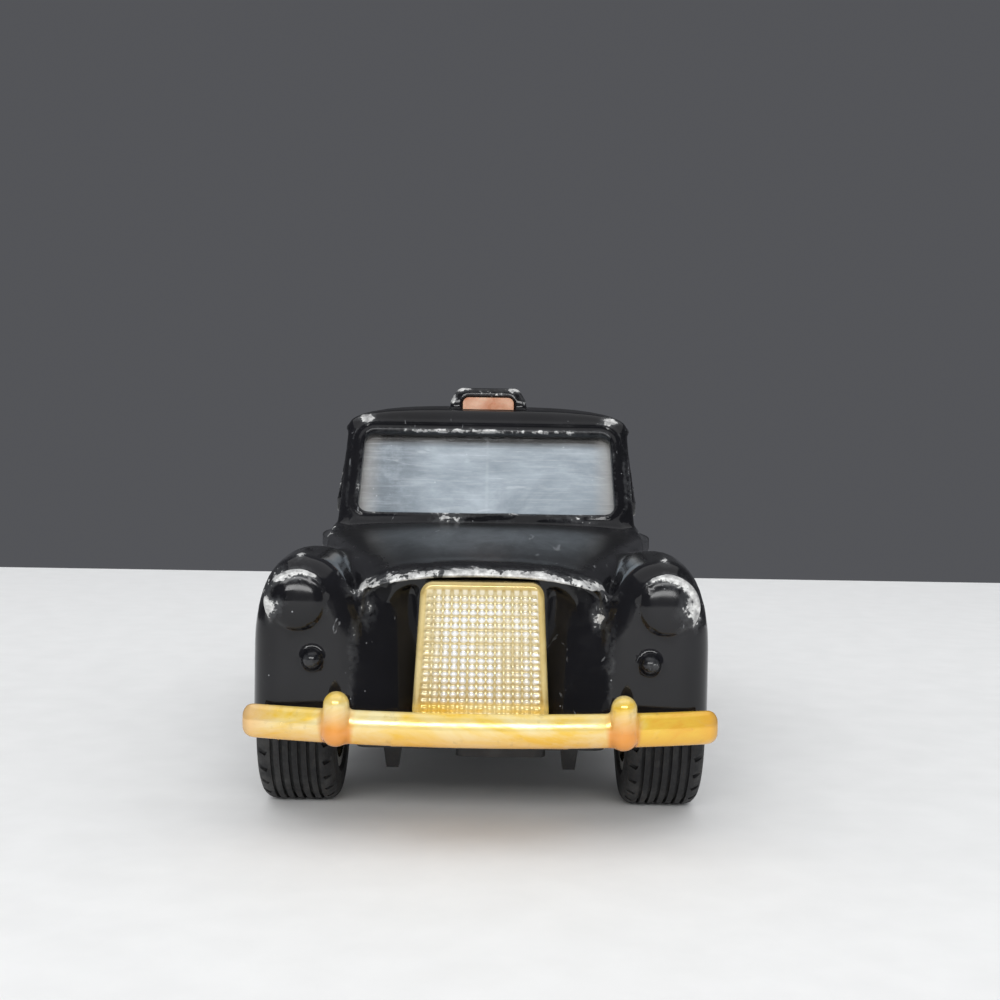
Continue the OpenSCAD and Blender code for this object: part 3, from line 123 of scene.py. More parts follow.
apron_y, apron_foot = nose_y + apron_set, base_top + tab_t + 2 * seat_gap
sign_y = windscreen_y + windscreen_lean + sign_set
lens_z = roof_h - lens_sink_share * wall
windscreen_rake = math.atan(windscreen_lean / cab_rise)
rear_rake = math.atan(rear_window_lean / cab_rise)
front_window_back, front_door_back = door_front_y - b_post, door_front_y - b_post / 2
front_door_y = windscreen_y + front_door_set
grille_y, grille_foot = nose_y - grille_proud, blade_z + blade_h / 2
blade_half = half_w - blade_inset
base_back, base_front = tail_y - tub_end_r, apron_y + wall + base_clear


def mix(a, b, u):
    return a + (b - a) * u


def clip01(u):
    return min(1.0, max(0.0, u))


def knot(t, x):
    i = 0
    while i < len(t) - 2 and x > t[i + 1][0]:
        i += 1
    h = t[i + 1][0] - t[i][0]
    return i, h, clip01((x - t[i][0]) / h)


def eased(t, x):
    i, _, u = knot(t, x)
    return mix(t[i][1], t[i + 1][1], u * u * (3 - 2 * u))


def curved(t, x):
    i, h, u = knot(t, x)

    def slope(k):
        a, b = t[max(0, k - 1)], t[min(len(t) - 1, k + 1)]
        return (b[1] - a[1]) / (b[0] - a[0]) * h

    return (mix(t[i][1], t[i + 1][1], u * u * (3 - 2 * u))
            + slope(i) * u * (1 - u) ** 2 - slope(i + 1) * u * u * (1 - u))


def end_round(d, r):
    return 0.0 if d >= r else r - math.sqrt(max(0.0, r * r - (r - d) ** 2))


# Forms of the casting: rings of points from front to back, as in the source but finer
SIDE_STEPS, ARC_STEPS, STATIONS = 8, 44, 90
LIP_CLEAR = 0.45


def ring(y, w0, w1, z0, z1, zt, blunt, bow=0, x=0, in_share=1, lean=0.0):
    """Side from (w0, z0) to (w1, z1), arc up to zt, and the same inward, narrowed by in_share."""
    u = np.linspace(0, 1, SIDE_STEPS + 1)
    a = np.linspace(0, np.pi / 2, ARC_STEPS + 1)[1:]
    out = np.append(mix(w0, w1, u) + 4 * bow * u * (1 - u), w1 * np.abs(np.cos(a)) ** (2 / blunt))
    up = np.append(mix(z0, z1, u), mix(z1, zt, np.sin(a) ** (2 / blunt)))
    out, up = np.append(out, -in_share * out[-2::-1]), np.append(up, up[-2::-1])
    return np.stack([x + out, y + lean * (up - belt_h), up], 1)


def loft(y0, y1, section):
    """Rings of a form, closer together at its ends."""
    shares = (1 - np.cos(np.pi * np.arange(STATIONS + 1) / STATIONS)) / 2
    return [section(s, mix(y0, y1, s)) for s in shares]


def tub(inset=0.0):
    y0, y1 = windscreen_y - tub_front_set + inset, tail_y - inset

    def section(s, y):
        cut = inset + end_round(y1 - y, tub_end_r)
        w, top = eased(tub_width_shares, s), curved(tub_top_shares, s) * belt_h - cut
        edge = min(eased(tub_edge_shares, s) * belt_h, top - tub_shoulder)
        return ring(y, sill_half * w - cut, belt_half * w - cut, -over if inset else sill_h, edge,
                    top, tub_blunt, side_bow)
    return loft(y0, y1, section)


def cab(inset=0.0):
    y0, y1 = windscreen_y + inset, rear_window_y - inset
    drop = cab_foot_drop * (2 if inset else 1)
    door0, door1 = ((y - y0) / (y1 - y0) for y in (door_front_y - over, door_back_y + over))

    def width(s, ends):
        return eased([(0, ends[0]), (door0, 1), (door1, 1), (1, ends[1])], s)

    def section(s, y):
        cut = inset or end_round(y - y0, cab_front_r) + end_round(y1 - y, cab_back_r)
        belt = cab_half * width(s, cab_belt_ends_shares) - cut
        rail = rail_half * width(s, cab_rail_ends_shares) - cut
        top = curved(roof_line_shares, s) * roof_h - cut
        return ring(y, mix(belt, rail, -drop / cab_rise), rail, belt_h - drop,
                    min(rail_h, top - roof_shoulder), top, roof_blunt,
                    lean=mix(windscreen_lean, -rear_window_lean, s) / cab_rise)
    return loft(y0, y1, section)


def bonnet_top(s):
    return mix(lip_h, cowl_h, curved(bonnet_line_shares, s))


def bonnet_edge(s):
    return bonnet_top(s) - mix(lip_fall, cowl_fall, s)


def bonnet_half(s):
    return (half_w - cowl_inset) * curved(bonnet_width_shares, s)


def bonnet(inset=0.0):
    y0, y1 = nose_y + lip_set + inset, windscreen_y + bonnet_tail
    drop = cowl_h if inset else bonnet_skirt

    def section(s, y):
        cut = inset + end_round(y - y0, bonnet_edge_r)
        w, edge = bonnet_half(s) - inset, bonnet_edge(s)
        return ring(y, w, w, edge - drop, edge - cut, bonnet_top(s) - cut, bonnet_blunt)
    return loft(y0, y1, section)


def under_lip():
    y0, y1 = nose_y + lip_set, windscreen_y + bonnet_tail
    rings = []
    for y in (y0 - nose_set, y0, mix(y0, apron_y, 0.5), apron_y):
        s = clip01((y - y0) / (y1 - y0))
        w, edge = bonnet_half(s) + LIP_CLEAR, bonnet_edge(s) - lip_t
        rings.append(ring(y, w, w, -over, edge, bonnet_top(s) - lip_t, bonnet_blunt))
    return rings


def apron(reach):
    s = apron_set / (windscreen_y + bonnet_tail - nose_y)
    edge, top = bonnet_edge(s) - 2 * lip_t, bonnet_top(s) - lip_t / 2
    return [ring(y, apron_half, apron_half, apron_foot, edge, top, bonnet_blunt)
            for y in (apron_y - reach, apron_y + wall)]


def front_wing(inset=0.0):
    y0, y1 = nose_y + inset, windscreen_y + wing_tail_set

    def section(s, y):
        cut = inset + end_round(y - y0, wing_edge_r)
        out = half_w * min(1, curved(wing_side_shares, s)) - crest_x - cut
        inner = wing_in * eased(wing_in_shares, s) - cut
        crest = wing_h * curved(wing_top_shares, s)
        foot = -over if inset else mix(wing_foot, sill_h, eased(wing_foot_shares, s))
        return ring(y, out, out, foot, crest * wing_shoulder_share, crest - cut, wing_blunt,
                    x=crest_x, in_share=inner / out)
    return loft(y0, y1, section)


def rear_wing(inset=0.0):
    y0, y1 = rear_axle_y - rear_wing_front + inset, tail_y - rear_wing_gap - inset

    def section(s, y):
        out = half_w * curved(rear_side_shares, s) - rear_wing_crest_x - inset
        top = rear_wing_h * curved(rear_top_shares, s)
        return ring(y, out, out, -over if inset else sill_h, top * rear_wing_shoulder_share,
                    top - inset, wing_blunt, x=rear_wing_crest_x, in_share=rear_in_share)
    return loft(y0, y1, section)


def placed(name, data):
    obj = bpy.data.objects.new(name, data)
    bpy.context.scene.collection.objects.link(obj)
    return obj


# Solids are kept as fields of signed distance, so that edges and joins can be rounded
def smooth_min(a, b, k, far):
    h = np.clip(0.5 + 0.5 * (b - a) / k, 0, 1)
    soft = b + (a - b) * h - k * h * (1 - h)
    return np.where((a < far) & (b < far), soft, np.minimum(a, b))


def blurred(a):
    for axis in range(3):
        p = np.pad(a, [(int(k == axis),) * 2 for k in range(3)], "edge")
        p = np.moveaxis(p, axis, 0)
        a = np.moveaxis(0.25 * p[:-2] + 0.5 * p[1:-1] + 0.25 * p[2:], 0, axis)
    return np.ascontiguousarray(a)


class Field:
    """Distances in mm on a lattice with step h, kept within a band of BAND steps."""
    BAND, BLEND_SHARE = 6.0, 0.98

    def __init__(self, lo, hi, h):
        self.h, self.far = h, self.BAND * h
        self.lo, self.hi = self.lattice(lo, hi)
        self.a = np.full(self.hi - self.lo + 1, self.far, np.float32)

    def lattice(self, lo, hi):
        return (np.floor(np.array(lo) / self.h).astype(int),
                np.ceil(np.array(hi) / self.h).astype(int))

    def span(self, lo, hi):
        i0, i1 = self.lattice(lo, hi)
        return np.maximum(i0 - 1, self.lo), np.minimum(i1 + 1, self.hi)

    def values(self, fn, i0, shape):
        x, y, z = ((np.arange(n, dtype=np.float32) + int(i)) * self.h for i, n in zip(i0, shape))
        d = fn(x[:, None, None], y[None, :, None], z[None, None, :])
        return np.clip(np.broadcast_to(d, shape), -self.far, self.far).astype(np.float32)

    def formula(self, fn, box=None):
        i0, i1 = self.span(*box) if box else (self.lo, self.hi)
        return i0, self.values(fn, i0, i1 - i0 + 1)

    def skin(self, rings, mirror=False):
        p = np.stack(rings)
        if mirror:
            p = p * (-1, 1, 1)
        m, n = p.shape[:2]
        k = np.arange(m * n).reshape(m, n)
        q = np.roll(k, -1, 1)
        quads = np.stack([k[:-1], q[:-1], q[1:], k[1:]], -1).reshape(-1, 4)
        pts = np.concatenate([p.reshape(-1, 3), p[0].mean(0)[None], p[-1].mean(0)[None]])
        first, last = np.full(n, m * n), np.full(n, m * n + 1)
        tris = np.concatenate([np.stack([first, q[0], k[0]], 1), np.stack([last, k[-1], q[-1]], 1)])
        grid = vdb.FloatGrid.createLevelSetFromPolygons(
            pts.astype(np.float32), triangles=tris.astype(np.uint32), quads=quads.astype(np.uint32),
            transform=vdb.createLinearTransform(self.h), halfWidth=self.BAND)
        i0, i1 = self.span(pts.min(0) - self.far, pts.max(0) + self.far)
        d = np.empty(i1 - i0 + 1, np.float32)
        grid.copyToArray(d, ijk=tuple(int(v) for v in i0))
        return i0, d

    def trim(self, piece, fn):
        i0, d = piece
        return i0, np.maximum(d, self.values(fn, i0, d.shape))

    def view(self, i0, d):
        o = i0 - self.lo
        return tuple(slice(o[k], o[k] + d.shape[k]) for k in range(3))

    def add(self, piece, k, sign=1):
        i0, d = piece
        s = self.view(i0, d)
        self.a[s] = sign * smooth_min(sign * self.a[s], d, k, self.far * self.BLEND_SHARE)

    def cut(self, piece, k):
        self.add(piece, k, -1)

    def join(self, k, fn, box=None):
        self.add(self.formula(fn, box), k)

    def carve(self, k, fn, box=None):
        self.cut(self.formula(fn, box), k)

    def engrave(self, skin, r, fn, box):
        i0, d = self.formula(fn, box)
        self.cut((i0, np.hypot(d, skin[self.view(i0, d)]) - r), SLOT_JOIN)

    def sample(self, a, p):
        q = p / self.h - self.lo
        i = np.clip(np.floor(q).astype(int), 0, np.array(a.shape) - 2)
        f = (q - i).astype(np.float32)
        total = 0
        for c in range(8):
            b = np.array([c & 1, c >> 1 & 1, c >> 2 & 1])
            w = np.prod(np.where(b, f, 1 - f), axis=1)
            j = i + b
            total = total + w * a[j[:, 0], j[:, 1], j[:, 2]]
        return total

    def mesh(self, name, adaptivity=0.0, spread=5, mirror=False):
        """Mesh of the zero surface, with normals and a wear value from the field."""
        a = blurred(self.a)
        grid = vdb.FloatGrid(self.far)
        grid.copyFromArray(a, ijk=tuple(int(v) for v in self.lo), tolerance=0.0)
        grid.transform = vdb.createLinearTransform(self.h)
        p, tris, quads = grid.convertToPolygons(isovalue=0.0, adaptivity=adaptivity)
        normal = np.stack([self.sample(a, p + e) - self.sample(a, p - e)
                           for e in np.eye(3) * self.h], 1)
        normal /= np.maximum(np.linalg.norm(normal, axis=1), TINY)[:, None]
        b = a
        for _ in range(spread):
            b = blurred(b)
        wear = (self.sample(b, p) - self.sample(a, p)) / self.h
        if mirror:
            p, normal = p * (-1, 1, 1), normal * (-1, 1, 1)
        first = quads[0] if len(quads) else tris[0]
        turn = np.cross(p[first[1]] - p[first[0]], p[first[2]] - p[first[0]])
        if np.dot(turn, normal[first[0]]) < 0:
            quads, tris = quads[:, ::-1], tris[:, ::-1]
        me = bpy.data.meshes.new(name)
        faces = quads.tolist() + tris.tolist()
        me.from_pydata((p * MM).tolist(), [], faces, shade_flat=False)
        me.validate()
        me.normals_split_custom_set_from_vertices(normal)
        worn = me.attributes.new("wear", "FLOAT", "POINT")
        worn.data.foreach_set("value", wear.astype(np.float32))
        return placed(name, me)


# Fineness of the fields, and room kept round a form, in mm
BODY_VOXEL, DOOR_VOXEL, FRONT_VOXEL, REAR_VOXEL = 0.22, 0.14, 0.12, 0.14
BODY_ADAPT, TRIM_ADAPT, DOOR_SPREAD, PLATING_SPREAD = 0.032, 0.02, 7, 6
PAD, FIELD_PAD, THIN, BLADE_ROOM = 3.0, 2.0, 1.0, 0.5

# Radii of joins and edges, in mm
SHARP_JOIN, SLOT_JOIN, FINE_JOIN, EDGE_JOIN, SOFT_JOIN = 0.05, 0.15, 0.2, 0.22, 0.25
TRIM_JOIN, ROUND_JOIN, LUMP_JOIN, CAB_JOIN, END_JOIN = 0.3, 0.35, 0.4, 0.5, 0.6
FRONT_WING_JOIN, REAR_WING_JOIN = 0.7, 0.8

# Trim and relief that only the scene has, in mm or as shares
RIM_SET, RIM_R, DOOR_RIM_R, FRONT_CAB_SHARE = 0.3, 0.3, 0.26, 0.99
FRAME_SET, FRAME_R, FRAME_OUT, FRAME_OUT_R = 0.36, 0.38, 1.35, 0.3
SCUTTLE_R, SCUTTLE_REACH, SCUTTLE_LIFT, SCUTTLE_FALL = 0.42, 0.6, 0.2, 0.5
GUTTER_R, GUTTER_LIFT, GUTTER_FALL, GUTTER_CREST = 0.36, 0.25, 0.8, 0.4
LINE_R, BOOT_HALF, BOOT_FOOT, BOOT_R = 0.24, 11.0, 13.2, 2.5
VALLEY_SLOPE, VALLEY_FILLET, VALLEY_LEAN, VALLEY_SET = 0.34, 1.0, 0.16, 1.2
CROWN, CROWN_EDGE_R, TAB_R, BRIDGE_R = 0.8, 0.35, 0.2, 0.3
PILLOW_BLUNT, PILLOW_FALL, CELL_EDGE, SINK, SINK_EDGE = 3, 0.6, 0.18, 0.12, 0.3
GRILLE_ROUND, GRILLE_LEAST_R, GRILLE_EASE = 0.35, 0.3, 0.8
BROW_TAPER, WIPER_HUB, HANDLE_FOOT = 0.45, 1.6, 0.8
OVERRIDER_FOOT, OVERRIDER_HEAD = 1.04, 0.92


# Distances to plain shapes, in mm
def capsule(a, b, r0, r1=None):
    a, b = np.array(a, float), np.array(b, float)
    r1 = r0 if r1 is None else r1
    ab = b - a

    def fn(*p):
        q = [c - o for c, o in zip(p, a)]
        t = np.clip(sum(c * e for c, e in zip(q, ab)) / ab.dot(ab), 0, 1)
        return np.sqrt(sum((c - t * e) ** 2 for c, e in zip(q, ab))) - mix(r0, r1, t)

    r = max(r0, r1) + FIELD_PAD
    return fn, (np.minimum(a, b) - r, np.maximum(a, b) + r)


def box_sd(x, y, lo, hi, r):
    qx, qy = (np.abs(c - (a + b) / 2) - (b - a) / 2 + r for c, a, b in zip((x, y), lo, hi))
    return np.hypot(np.maximum(qx, 0), np.maximum(qy, 0)) + np.minimum(np.maximum(qx, qy), 0) - r


def polygon_sd(x, y, pts):
    """Distance to a convex outline given anticlockwise."""
    near, side = np.inf, -np.inf
    for (ax, ay), (bx, by) in zip(pts, pts[1:] + pts[:1]):
        ex, ey = bx - ax, by - ay
        t = np.clip(((x - ax) * ex + (y - ay) * ey) / (ex * ex + ey * ey), 0, 1)
        near = np.minimum(near, np.hypot(x - ax - t * ex, y - ay - t * ey))
        side = np.maximum(side, ((x - ax) * ey - (y - ay) * ex) / math.hypot(ex, ey))
    return np.where(side > 0, near, -near)


def trapezoid_sd(x, v, foot_w, head_w, v0, v1, r):
    """Distance to an upright trapezoid with rounded corners."""
    foot, head = foot_w / 2 - r, head_w / 2 - r
    pts = [(-foot, v0 + r), (foot, v0 + r), (head, v1 - r), (-head, v1 - r)]
    return polygon_sd(x, v, pts) - r


def across(y0, z0, y1, z1, pad=PAD):
    """Corners of a padded box over the whole width of the car."""
    return (-half_w - pad, y0 - pad, z0 - pad), (half_w + pad, y1 + pad, z1 + pad)


# Sloping windows: foot of the plane, way it faces, rake, widths at foot and head, sill, height
WINDSCREEN = (windscreen_y, 1, windscreen_rake, windscreen_w, windscreen_w - tumblehome / 2,
              window_sill - window_r / 8, windscreen_h)
REAR_WINDOW = (rear_window_y, -1, rear_rake, rear_window_w, rear_window_w - tumblehome,
               2 * window_sill, rear_window_h)


def pane_sd(pane, x, y, z):
    """Depth behind a pane's plane, height along it, and distance to the outline on it."""
    y0, way, rake, foot_w, head_w, v0, h = pane
    dy, dz = way * (y - y0), z - belt_h
    c, s = math.cos(rake), math.sin(rake)
    d, v = dy * c - dz * s, dy * s + dz * c
    return d, v, trapezoid_sd(x, v, foot_w, head_w, v0, v0 + h, window_r)


def rim(pane, offset, r):
    """A bead that runs round a sloping window."""
    def fn(x, y, z):
        d, _, flat = pane_sd(pane, x, y, z)
        return np.hypot(flat - offset, d) - r
    return fn


def opening(pane, middle, half):
    """The hole of a sloping window, through the depths around the middle one."""
    def fn(x, y, z):
        d, _, flat = pane_sd(pane, x, y, z)
        return np.maximum(flat, np.abs(d - middle) - half - over)
    return fn


def side_profile(z):
    """Half width of the body side beside the doors."""
    u = (z - sill_h) / (belt_edge_h - sill_h)
    low = mix(sill_half, belt_half, u) + 4 * side_bow * u * (1 - u)
    v = np.clip((z - belt_edge_h) / (belt_h - belt_edge_h), 0, 1)
    shoulder = belt_half * (1 - v ** tub_blunt) ** (1 / tub_blunt)
    tub_x = np.where(z <= belt_edge_h, low, shoulder)
    cab_x = mix(cab_half, rail_half, (z - belt_h) / cab_rise)
    return np.maximum(tub_x, np.where(z < belt_h - cab_foot_drop, 0, cab_x))


# Cast body
def front_window_flat(y, z):
    z0, z1 = belt_h + window_sill + window_r, rail_h - window_head - window_r
    y0, y1 = windscreen_y + front_window_set, front_window_back - window_r
    lean = windscreen_lean / cab_rise * (z1 - z0)
    return polygon_sd(y, z, [(y0, z0), (y1, z0), (y1, z1), (y0 + lean, z1)]) - window_r


def front_window_opening(x, y, z):
    return np.maximum(front_window_flat(y, z), cab_half / 2 - np.abs(x))


def front_window_rim(x, y, z):
    proud = np.abs(x) - side_profile(z) * FRONT_CAB_SHARE
    return np.hypot(front_window_flat(y, z) - RIM_SET, proud) - RIM_R


def door_opening(x, y, z):
    flat = box_sd(y, z, (door_front_y, door_foot), (door_back_y, door_head), door_corner_r)
    return np.maximum(flat, rail_half - 2 * wall - np.abs(x))


def arch(axle_y):
    return lambda x, y, z: np.hypot(y - axle_y, z - axle_z) - arch_r


def dome(x0, z0, r, depth):
    def fn(x, y, z):
        px, py, pz = np.abs(x) - x0, y - nose_y, z - z0
        k0 = np.sqrt((px / r) ** 2 + (py / depth) ** 2 + (pz / r) ** 2)
        k1 = np.sqrt((px / r ** 2) ** 2 + (py / depth ** 2) ** 2 + (pz / r ** 2) ** 2)
        return k0 * (k0 - 1) / np.maximum(k1, TINY)
    return fn


def brow(x, y, z):
    px, py, pz = np.abs(x) - crest_x, y - nose_y, z - lamp_h
    ring_r = lamp_r + brow_gap
    middle, reach = math.radians((brow_from + brow_to) / 2), math.radians((brow_to - brow_from) / 2)
    turn = np.arctan2(pz, px) - middle
    turn = (turn + np.pi) % (2 * np.pi) - np.pi
    held = np.clip(turn, -reach, reach) + middle
    thick = brow_r * (1 - BROW_TAPER * np.clip(np.abs(turn) / reach, 0, 1) ** 3)
    dx, dz = px - ring_r * np.cos(held), pz - ring_r * np.sin(held)
    return np.sqrt(dx ** 2 + py ** 2 + dz ** 2) - thick


def sign_housing(x, y, z):
    u = np.clip((z - roof_h) / sign_rise, 0, 1)
    half_x, half_y = mix(sign_w, sign_head_w, u) / 2, mix(sign_l, sign_head_l, u) / 2
    r = sign_edge_r
    q = [np.abs(x) - half_x + r, np.abs(y - sign_y - sign_l / 2) - half_y + r,
         np.abs(z - roof_h + wall / 2) - sign_rise - wall / 2 + r]
    out = np.sqrt(sum(np.maximum(c, 0) ** 2 for c in q))
    return out + np.minimum(np.maximum(np.maximum(q[0], q[1]), q[2]), 0) - r


def lens_slot(x, y, z):
    r = lens_h / 2
    flat = box_sd(x, z, (-lens_w / 2, lens_z - 2 * r), (lens_w / 2, lens_z + lens_h), r)
    flat = np.maximum(flat, lens_z - z)
    return np.maximum(flat - seat_gap, np.abs(y - sign_y) - lens_depth)


def scuttle(x, y, z):
    d, v, _ = pane_sd(WINDSCREEN, x, y, z)
    reach = windscreen_w / 2 + SCUTTLE_REACH
    px = np.maximum(np.abs(x) - reach, 0)
    low = SCUTTLE_LIFT - SCUTTLE_FALL * (x / reach) ** 2
    return np.sqrt(px ** 2 + d ** 2 + (v - low) ** 2) - SCUTTLE_R


def gutter(x, y, z):
    y0, y1 = windscreen_y + windscreen_lean, rear_window_y - rear_window_lean
    held = np.clip(y, y0 + cab_front_r, y1 - cab_back_r)
    s = (held - y0) / (y1 - y0)
    cab_l = rear_window_y - windscreen_y
    doors = [(d - windscreen_y) / cab_l for d in (door_front_y - over, door_back_y + over)]
    first, last = cab_rail_ends_shares
    rail = rail_half * np.interp(s, (0, *doors, 1), (first, 1, 1, last))
    height = rail_h + GUTTER_LIFT - GUTTER_FALL * (s - GUTTER_CREST) ** 2
    return np.sqrt((np.abs(x) - rail) ** 2 + (y - held) ** 2 + (z - height) ** 2) - GUTTER_R


def front_door_line(x, y, z):
    hi = (front_door_back, belt_h + door_l)
    flat = box_sd(y, z, (front_door_y, door_foot), hi, door_corner_r)
    return np.where(z > belt_h - RIM_R, 2 * wall, np.abs(flat))


def boot_line(x, y, z):
    flat = box_sd(x, z, (-BOOT_HALF, BOOT_FOOT), (BOOT_HALF, roof_h), BOOT_R)
    return np.where(y < rear_window_y + RIM_R, 2 * wall, np.abs(flat))


def valley(x, y, z):
    """Face of the panel behind the grille, which comes forward on both sides of it."""
    aside = np.abs(x) - grille_w / 2
    lean = VALLEY_LEAN * (z - apron_foot) - VALLEY_SET
    front = apron_y - VALLEY_SLOPE * np.maximum(aside, 0)
    front = front + lean * np.clip(aside / VALLEY_FILLET + 0.5, 0, 1)
    return (front - y) * math.cos(math.atan(VALLEY_SLOPE))


def rivet_post(y0, top):
    foot, spare = base_top + seat_gap, post_r + FIELD_PAD

    def fn(x, y, z):
        tall = np.abs(z - (foot + top) / 2) - (top - foot) / 2
        return np.maximum(np.hypot(x, y - y0) - post_r, tall)
    return fn, ((-spare, y0 - spare, base_top - FIELD_PAD), (spare, y0 + spare, top + FIELD_PAD))


def on_pane(x, d, v):
    """Place on the windscreen's plane."""
    c, s = math.cos(windscreen_rake), math.sin(windscreen_rake)
    return x, windscreen_y + d * c + v * s, belt_h - d * s + v * c


def add_handle(f, k, side, y0):
    skin_x = float(side_profile(handle_z))
    bar_x, y1 = side * (skin_x + handle_r), y0 + handle_l
    f.join(k, *capsule((bar_x, y0, handle_z), (bar_x, y1, handle_z), handle_r))
    for y in (y0, y1):
        foot = (side * skin_x, y, handle_z), (bar_x, y, handle_z)
        f.join(k, *capsule(*foot, HANDLE_FOOT * handle_r))


def add_wipers(f):
    for x in wiper_x:
        arm = on_pane(x, 0, 0), on_pane(x + wiper_l / 3, -wiper_r, wiper_r)
        f.join(TRIM_JOIN, *capsule(*arm, WIPER_HUB * wiper_r, wiper_r))
        blade = (on_pane(x - wiper_l / 4, -wiper_r, wiper_r),
                 on_pane(x + 3 * wiper_l / 4, -wiper_r, 3 * wiper_r))
        f.join(FINE_JOIN, *capsule(*blade, wiper_r))


def build_body():
    f = Field(*across(front_y, 0, back_y, roof_h + sign_rise, FIELD_PAD), BODY_VOXEL)
    f.add(f.skin(tub()), TRIM_JOIN)
    f.add(f.skin(cab()), CAB_JOIN)
    f.add(f.skin(bonnet()), CAB_JOIN)
    for mirrored in (False, True):
        f.add(f.skin(front_wing(), mirrored), FRONT_WING_JOIN)
        f.add(f.skin(rear_wing(), mirrored), REAR_WING_JOIN)
    # lamps, beads, handles, rims, scuttle, gutter, wipers and sign cast on the skin
    nose = across(nose_y, side_lamp_h, nose_y, lamp_h + lamp_r)
    f.join(FINE_JOIN, dome(crest_x, lamp_h, lamp_r, lamp_dome), nose)
    f.join(ROUND_JOIN, brow, nose)
    f.join(SOFT_JOIN, dome(side_lamp_x, side_lamp_h, side_lamp_r, side_lamp_r), nose)
    for s in (-1, 1):
        x, y = s * crest_x, nose_y + bead_set
        f.join(LUMP_JOIN, *capsule((x, y, wing_h - bead_r), (x, y + bead_l, wing_h), bead_r))
        add_handle(f, FINE_JOIN, s, front_door_back - handle_l - 2 * handle_r - over)
        x = s * tail_lamp_x
        f.join(LUMP_JOIN, *capsule((x, tail_y - tail_lamp_set, tail_lamp_h),
                                   (x, tail_y - tail_lamp_r, tail_lamp_h), tail_lamp_r))
    pane = across(windscreen_y, belt_h, sign_y - PAD, roof_h - PAD)
    back_pane = across(rear_axle_y - PAD, belt_h, rear_window_y, roof_h)
    for offset, r in ((FRAME_SET, FRAME_R), (FRAME_OUT, FRAME_OUT_R)):
        f.join(TRIM_JOIN, rim(WINDSCREEN, offset, r), pane)
    f.join(TRIM_JOIN, rim(REAR_WINDOW, RIM_SET, RIM_R), back_pane)
    f.join(CAB_JOIN, scuttle, across(windscreen_y, belt_h, windscreen_y + THIN, belt_h + THIN))
    f.join(TRIM_JOIN, gutter, across(windscreen_y, belt_h, rear_window_y, roof_h))
    f.join(TRIM_JOIN, front_window_rim,
           across(windscreen_y, belt_h, door_front_y, rail_h + THIN, 0))
    add_wipers(f)
    f.join(TRIM_JOIN, sign_housing, across(sign_y, roof_h, sign_y + sign_l, roof_h + THIN))
    # lines of the front doors and the boot lid
    skin = f.a.copy()
    f.engrave(skin, LINE_R, front_door_line,
              across(front_door_y, door_foot, front_door_back, belt_h - PAD))
    f.engrave(skin, LINE_R, boot_line,
              across(rear_window_y, BOOT_FOOT - FIELD_PAD, tail_y, belt_h, THIN))
    # hollow inside and openings
    for form in (tub, cab, bonnet):
        f.cut(f.skin(form(wall)), FINE_JOIN)
    for mirrored in (False, True):
        for form in (front_wing, rear_wing):
            f.cut(f.skin(form(wall), mirrored), FINE_JOIN)
    f.cut(f.skin(under_lip()), TRIM_JOIN)
    f.carve(TRIM_JOIN, opening(WINDSCREEN, wall / 2, wall / 2), pane)
    f.carve(TRIM_JOIN, opening(REAR_WINDOW, wall, 2 * wall), back_pane)
    f.carve(TRIM_JOIN, front_window_opening, across(windscreen_y, belt_h, door_front_y, roof_h))
    f.carve(SOFT_JOIN, door_opening, across(door_front_y, door_foot, door_back_y, roof_h))
    for y in (front_axle_y, rear_axle_y):
        f.carve(ROUND_JOIN, arch(y), across(y - arch_r, 0, y + arch_r, axle_z + arch_r))
    # panel behind the grille, posts for the rivets, seat of the lens
    reach = VALLEY_SLOPE * (apron_half - grille_w / 2) + VALLEY_SET
    f.add(f.trim(f.skin(apron(reach)), valley), VALLEY_FILLET)
    f.join(TRIM_JOIN, *rivet_post(front_axle_y + front_post_set, cowl_h - wall))
    f.join(TRIM_JOIN, *rivet_post(rear_axle_y + rear_window_set + post_r, belt_h - wall))
    f.carve(SLOT_JOIN, lens_slot, across(sign_y, lens_z, sign_y, lens_z + THIN))
    body = f.mesh("cast_body", BODY_ADAPT)
    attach(body, "chassis")
    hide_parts("body_shell")
    return body


# Rear doors
def build_door(sign, name, node, body_name):
    f = Field((rail_half - PAD - THIN, door_front_y - THIN, door_foot - THIN),
              (sill_half + FIELD_PAD, door_back_y + THIN, door_head + THIN), DOOR_VOXEL)
    fall = side_profile(door_foot) - side_profile(door_head)
    lean = math.cos(math.atan(fall / (door_head - door_foot)))

    def slab(x, y, z):
        return np.abs(x - side_profile(z) + door_t / 2) * lean - door_t / 2

    def outside(x, y, z):
        return -box_sd(y, z, (door_front_y + door_gap, door_foot + door_gap),
                       (door_back_y - hinge_gap, door_head - door_gap), door_corner_r - door_gap)

    def window(x, y, z):
        front, back = door_front_y + door_gap + door_frame, hinge_y - hinge_pin_r - running_gap
        head = door_head - door_gap - door_frame
        return box_sd(y, z, (front, belt_h + window_sill), (back, head), window_r)

    def window_rim(x, y, z):
        return np.hypot(window(x, y, z) - RIM_SET, x - side_profile(z)) - DOOR_RIM_R

    f.join(SHARP_JOIN, slab)
    f.carve(EDGE_JOIN, outside)
    f.join(TRIM_JOIN, window_rim)
    f.carve(EDGE_JOIN, window)
    add_handle(f, SLOT_JOIN, 1, door_front_y + door_gap + over)
    obj = f.mesh(name, TRIM_ADAPT, DOOR_SPREAD, mirror=sign < 0)
    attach(obj, body_name)
    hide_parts(node)
    return obj


